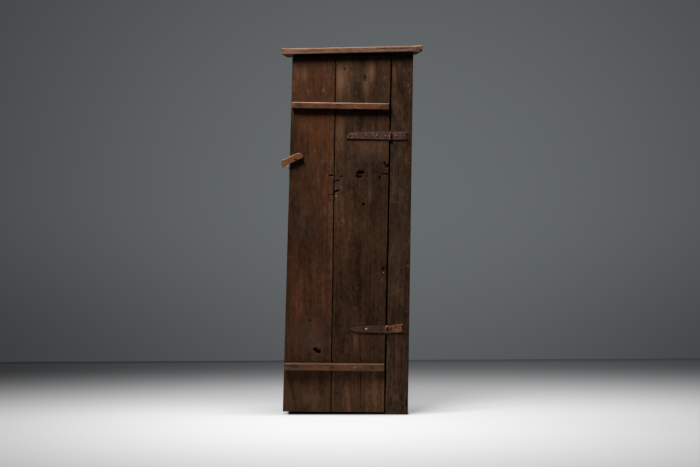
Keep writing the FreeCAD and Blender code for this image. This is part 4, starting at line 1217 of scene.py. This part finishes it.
class CUPBOARD_OT_studio(bpy.types.Operator):
    """Makes the floor, the backdrop, the lamps and the camera"""

    bl_idname = "cupboard.studio"
    bl_label = "Studio"

    def execute(self, context):
        studio = context.scene.cupboard_studio
        floor = stage_plane("studio_floor", (0.0, 0.0, -FLOOR_DROP), (0.0, 0.0, 0.0))
        stage_paint(floor, self.floor, studio)
        wall = stage_plane("studio_backdrop", (0.0, studio.wall_place, STAGE_SIZE / 2 - BACKDROP_SINK),
                           (math.radians(90), 0.0, studio.wall_turn))
        stage_paint(wall, self.backdrop, studio)
        self.lamps(context, studio)
        self.camera(context, studio)
        context.scene.view_settings.view_transform = "Standard"
        return {"FINISHED"}

    def floor(self, studio, graph, shader, parts):
        """The pale floor, deeper and freer of shadow towards the backdrop; its glow holds painted light and
        painted shade.
        """
        across, deep = parts[X], parts[Y]
        depth = deep - across * math.tan(studio.wall_turn)
        aside = across - BOW_MIDDLE
        bow = graph.math("MINIMUM", aside * aside * BOW_SHARE, BOW_MOST)
        fade = graph.math("POWER", graph.between(depth + bow, *FADE_DEPTHS), FADE_POWER)
        # A painted pool of light on the floor.
        light_pool = graph.bell((across, graph.math("MINIMUM", deep, LIGHT_POOL[Y][0])), LIGHT_POOL)
        fade = fade * graph.math("MAXIMUM", light_pool, LIGHT_POOL_LEAST)
        # Painted shade on the floor round the cupboard.
        fade = fade * (1.0 - graph.bell((across, deep), SIDE_SHADE) * SIDE_SHADE_SHARE)
        # The deep floor is painted lighter in its middle; painted shade darkens it along the backdrop.
        start, full = (studio.wall_place - reach for reach in SEAM_SHADE_REACHES)
        far = graph.math("MAXIMUM", graph.bell((across,), FAR_LIGHT), FAR_LIGHT_LEAST)
        far = far * (1.0 - graph.between(depth, start, full) * SEAM_SHADE_SHARE)
        colour = graph.blend(far, BLACK, shared(studio.floor_deep))
        colour = graph.blend(fade, colour, shared(studio.floor_pale))
        # The glow is cut away over the cupboard's footprint: painted shade under the cupboard.
        under = 1.0
        for axis, low, high in self.footprint():
            under = graph.between(parts[axis], low - UNDER_OUT, low + UNDER_IN) * under
            under = graph.between(parts[axis], high + UNDER_OUT, high - UNDER_IN) * under
        # Painted shadow on the floor beside the cupboard's feet.
        slant = graph.math("MAXIMUM", across - SLANT_START, 0.0) * SLANT_SHARE
        foot = graph.bell((across, deep), FOOT_SHADE) * graph.between(deep - slant, *FOOT_EDGE)
        foot = 1.0 - foot * FOOT_SHADE_SHARE
        share = (1.0 - fade) * (DEEP_GLOW_SHARE - studio.floor_share) + studio.floor_share
        strength = (1.0 - under) * (share * foot)
        glow = graph.value("ShaderNodeEmission", {"Color": colour, "Strength": strength})
        dull = graph.blend(fade * studio.floor_take * foot, BLACK, colour)
        matt = graph.value("ShaderNodeBsdfDiffuse", {"Color": dull})
        bounce = [shared((studio.floor_bounce * part,) * 3) for part in (NEAR_LEAST_SHARE, 1.0)]
        graph.feed(shader.inputs["Base Color"], graph.blend(graph.bell((across, deep), NEAR), *bounce))
        shader.inputs["Specular IOR Level"].default_value = 0.0
        return shown(graph, shader, graph.value("ShaderNodeAddShader", {0: glow, 1: matt}))

    def footprint(self):
        """Axis, lowest and highest place of what stands on the floor, across and deep."""
        stands = ("front_stile", "left_side_front_board", "left_side_rear_board",
                  "right_side_front_board", "right_side_rear_board")
        points = np.concatenate([node_points(node) for node in stands])
        feet = points[points[:, Z] < CORNER_REACH]
        return [(axis, feet[:, axis].min(), feet[:, axis].max()) for axis in (X, Y)]

    def backdrop(self, studio, graph, shader, parts):
        """The grey backdrop, lighter in the middle and open from behind."""
        up = parts[Z]
        wide = graph.between(up, 0.0, GLOW_UP) * GLOW_WIDER + GLOW_WIDE
        tall = graph.math("GREATER_THAN", up, GLOW_UP) * GLOW_ABOVE + GLOW_BELOW
        lit = graph.bell((parts[X], up), ((GLOW_ACROSS, wide), (GLOW_UP, tall)))
        colour = graph.blend(lit, shared(studio.wall_dim), shared(studio.wall))
        shader.inputs["Base Color"].default_value = shared(studio.wall)
        seen = shown(graph, shader, graph.value("ShaderNodeEmission", {"Color": colour}))
        shadow = graph.value("ShaderNodeLightPath", output="Is Shadow Ray")
        behind = graph.value("ShaderNodeNewGeometry", output="Backfacing")
        opened = {0: graph.math("MAXIMUM", behind, shadow), 1: seen,
                  2: graph.value("ShaderNodeBsdfTransparent")}
        return graph.value("ShaderNodeMixShader", opened)

    def lamps(self, context, studio):
        """A soft lamp above the front left, a fill for the far sides and a faint even sky."""
        self.lamp(context, "key_lamp", studio.key_power, studio.key_size, studio.key_reach,
                  studio.key_height, studio.key_turn)
        fill = self.lamp(context, "fill_lamp", studio.fill_power, studio.key_size, studio.fill_reach,
                         studio.fill_height, studio.fill_turn)
        pieces = bpy.data.collections.new("cupboard_pieces")
        for obj in context.scene.objects:
            if obj.name.startswith("worn_"):
                pieces.objects.link(obj)
        fill.light_linking.receiver_collection = pieces
        world = bpy.data.worlds.new("studio_sky")
        context.scene.world = world
        world.use_nodes = True
        background = world.node_tree.nodes["Background"]
        background.inputs["Color"].default_value = (1.0, 1.0, 1.0, 1.0)
        background.inputs["Strength"].default_value = studio.sky

    def lamp(self, context, name, power, size, reach, height, turn):
        """One square lamp that faces the cupboard's front."""
        way = Vector((math.sin(turn) * math.cos(height), -math.cos(turn) * math.cos(height),
                      math.sin(height)))
        held = bpy.data.lights.new(name, "AREA")
        held.energy = power
        held.size = size
        lamp = bpy.data.objects.new(name, held)
        lamp.location = LAMP_AIM + way * reach
        lamp.rotation_euler = way.to_track_quat("Z", "Y").to_euler()
        context.scene.collection.objects.link(lamp)
        return lamp

    def camera(self, context, studio):
        """The camera at eye height in front."""
        held = bpy.data.cameras.new("studio_camera")
        held.lens = studio.lens
        held.sensor_width = 36.0
        camera = bpy.data.objects.new("studio_camera", held)
        camera.location = studio.camera
        camera.rotation_euler = (studio.camera_tilt, 0.0, 0.0)
        context.scene.collection.objects.link(camera)
        context.scene.camera = camera


MAKERS = (CUPBOARD_OT_door, CUPBOARD_OT_stile, CUPBOARD_OT_battens, CUPBOARD_OT_case,
          CUPBOARD_OT_inside, CUPBOARD_OT_hinges, CUPBOARD_OT_latch, CUPBOARD_OT_nails,
          CUPBOARD_OT_studio)


class CUPBOARD_PT_panel(bpy.types.Panel):
    """Lists the cupboard's makers in the sidebar"""

    bl_idname = "CUPBOARD_PT_panel"
    bl_label = "Rustic cupboard"
    bl_space_type = "VIEW_3D"
    bl_region_type = "UI"
    bl_category = "Cupboard"

    def draw(self, context):
        for settings in (context.scene.cupboard_wood, context.scene.cupboard_iron,
                         context.scene.cupboard_studio):
            box = self.layout.box()
            for name in settings.__annotations__:
                box.prop(settings, name)
        for maker in MAKERS:
            self.layout.operator(maker.bl_idname)


SETTINGS = {"cupboard_wood": CupboardWood, "cupboard_iron": CupboardIron,
            "cupboard_studio": CupboardStudio}


def register():
    """Adds the settings, the makers and the panel."""
    for name, settings in SETTINGS.items():
        bpy.utils.register_class(settings)
        setattr(bpy.types.Scene, name, PointerProperty(type=settings))
    for maker in MAKERS + (CUPBOARD_PT_panel,):
        bpy.utils.register_class(maker)


def unregister():
    """Takes the panel, the makers and the settings away."""
    for maker in (CUPBOARD_PT_panel,) + MAKERS[::-1]:
        bpy.utils.unregister_class(maker)
    for name, settings in SETTINGS.items():
        delattr(bpy.types.Scene, name)
        bpy.utils.unregister_class(settings)


def main():
    """Makes every piece and the studio."""
    register()
    bpy.ops.cupboard.door()
    bpy.ops.cupboard.stile()
    bpy.ops.cupboard.battens()
    bpy.ops.cupboard.case()
    bpy.ops.cupboard.inside()
    bpy.ops.cupboard.hinges()
    bpy.ops.cupboard.latch()
    bpy.ops.cupboard.nails()
    bpy.ops.cupboard.studio()


if __name__ == "__main__":
    main()
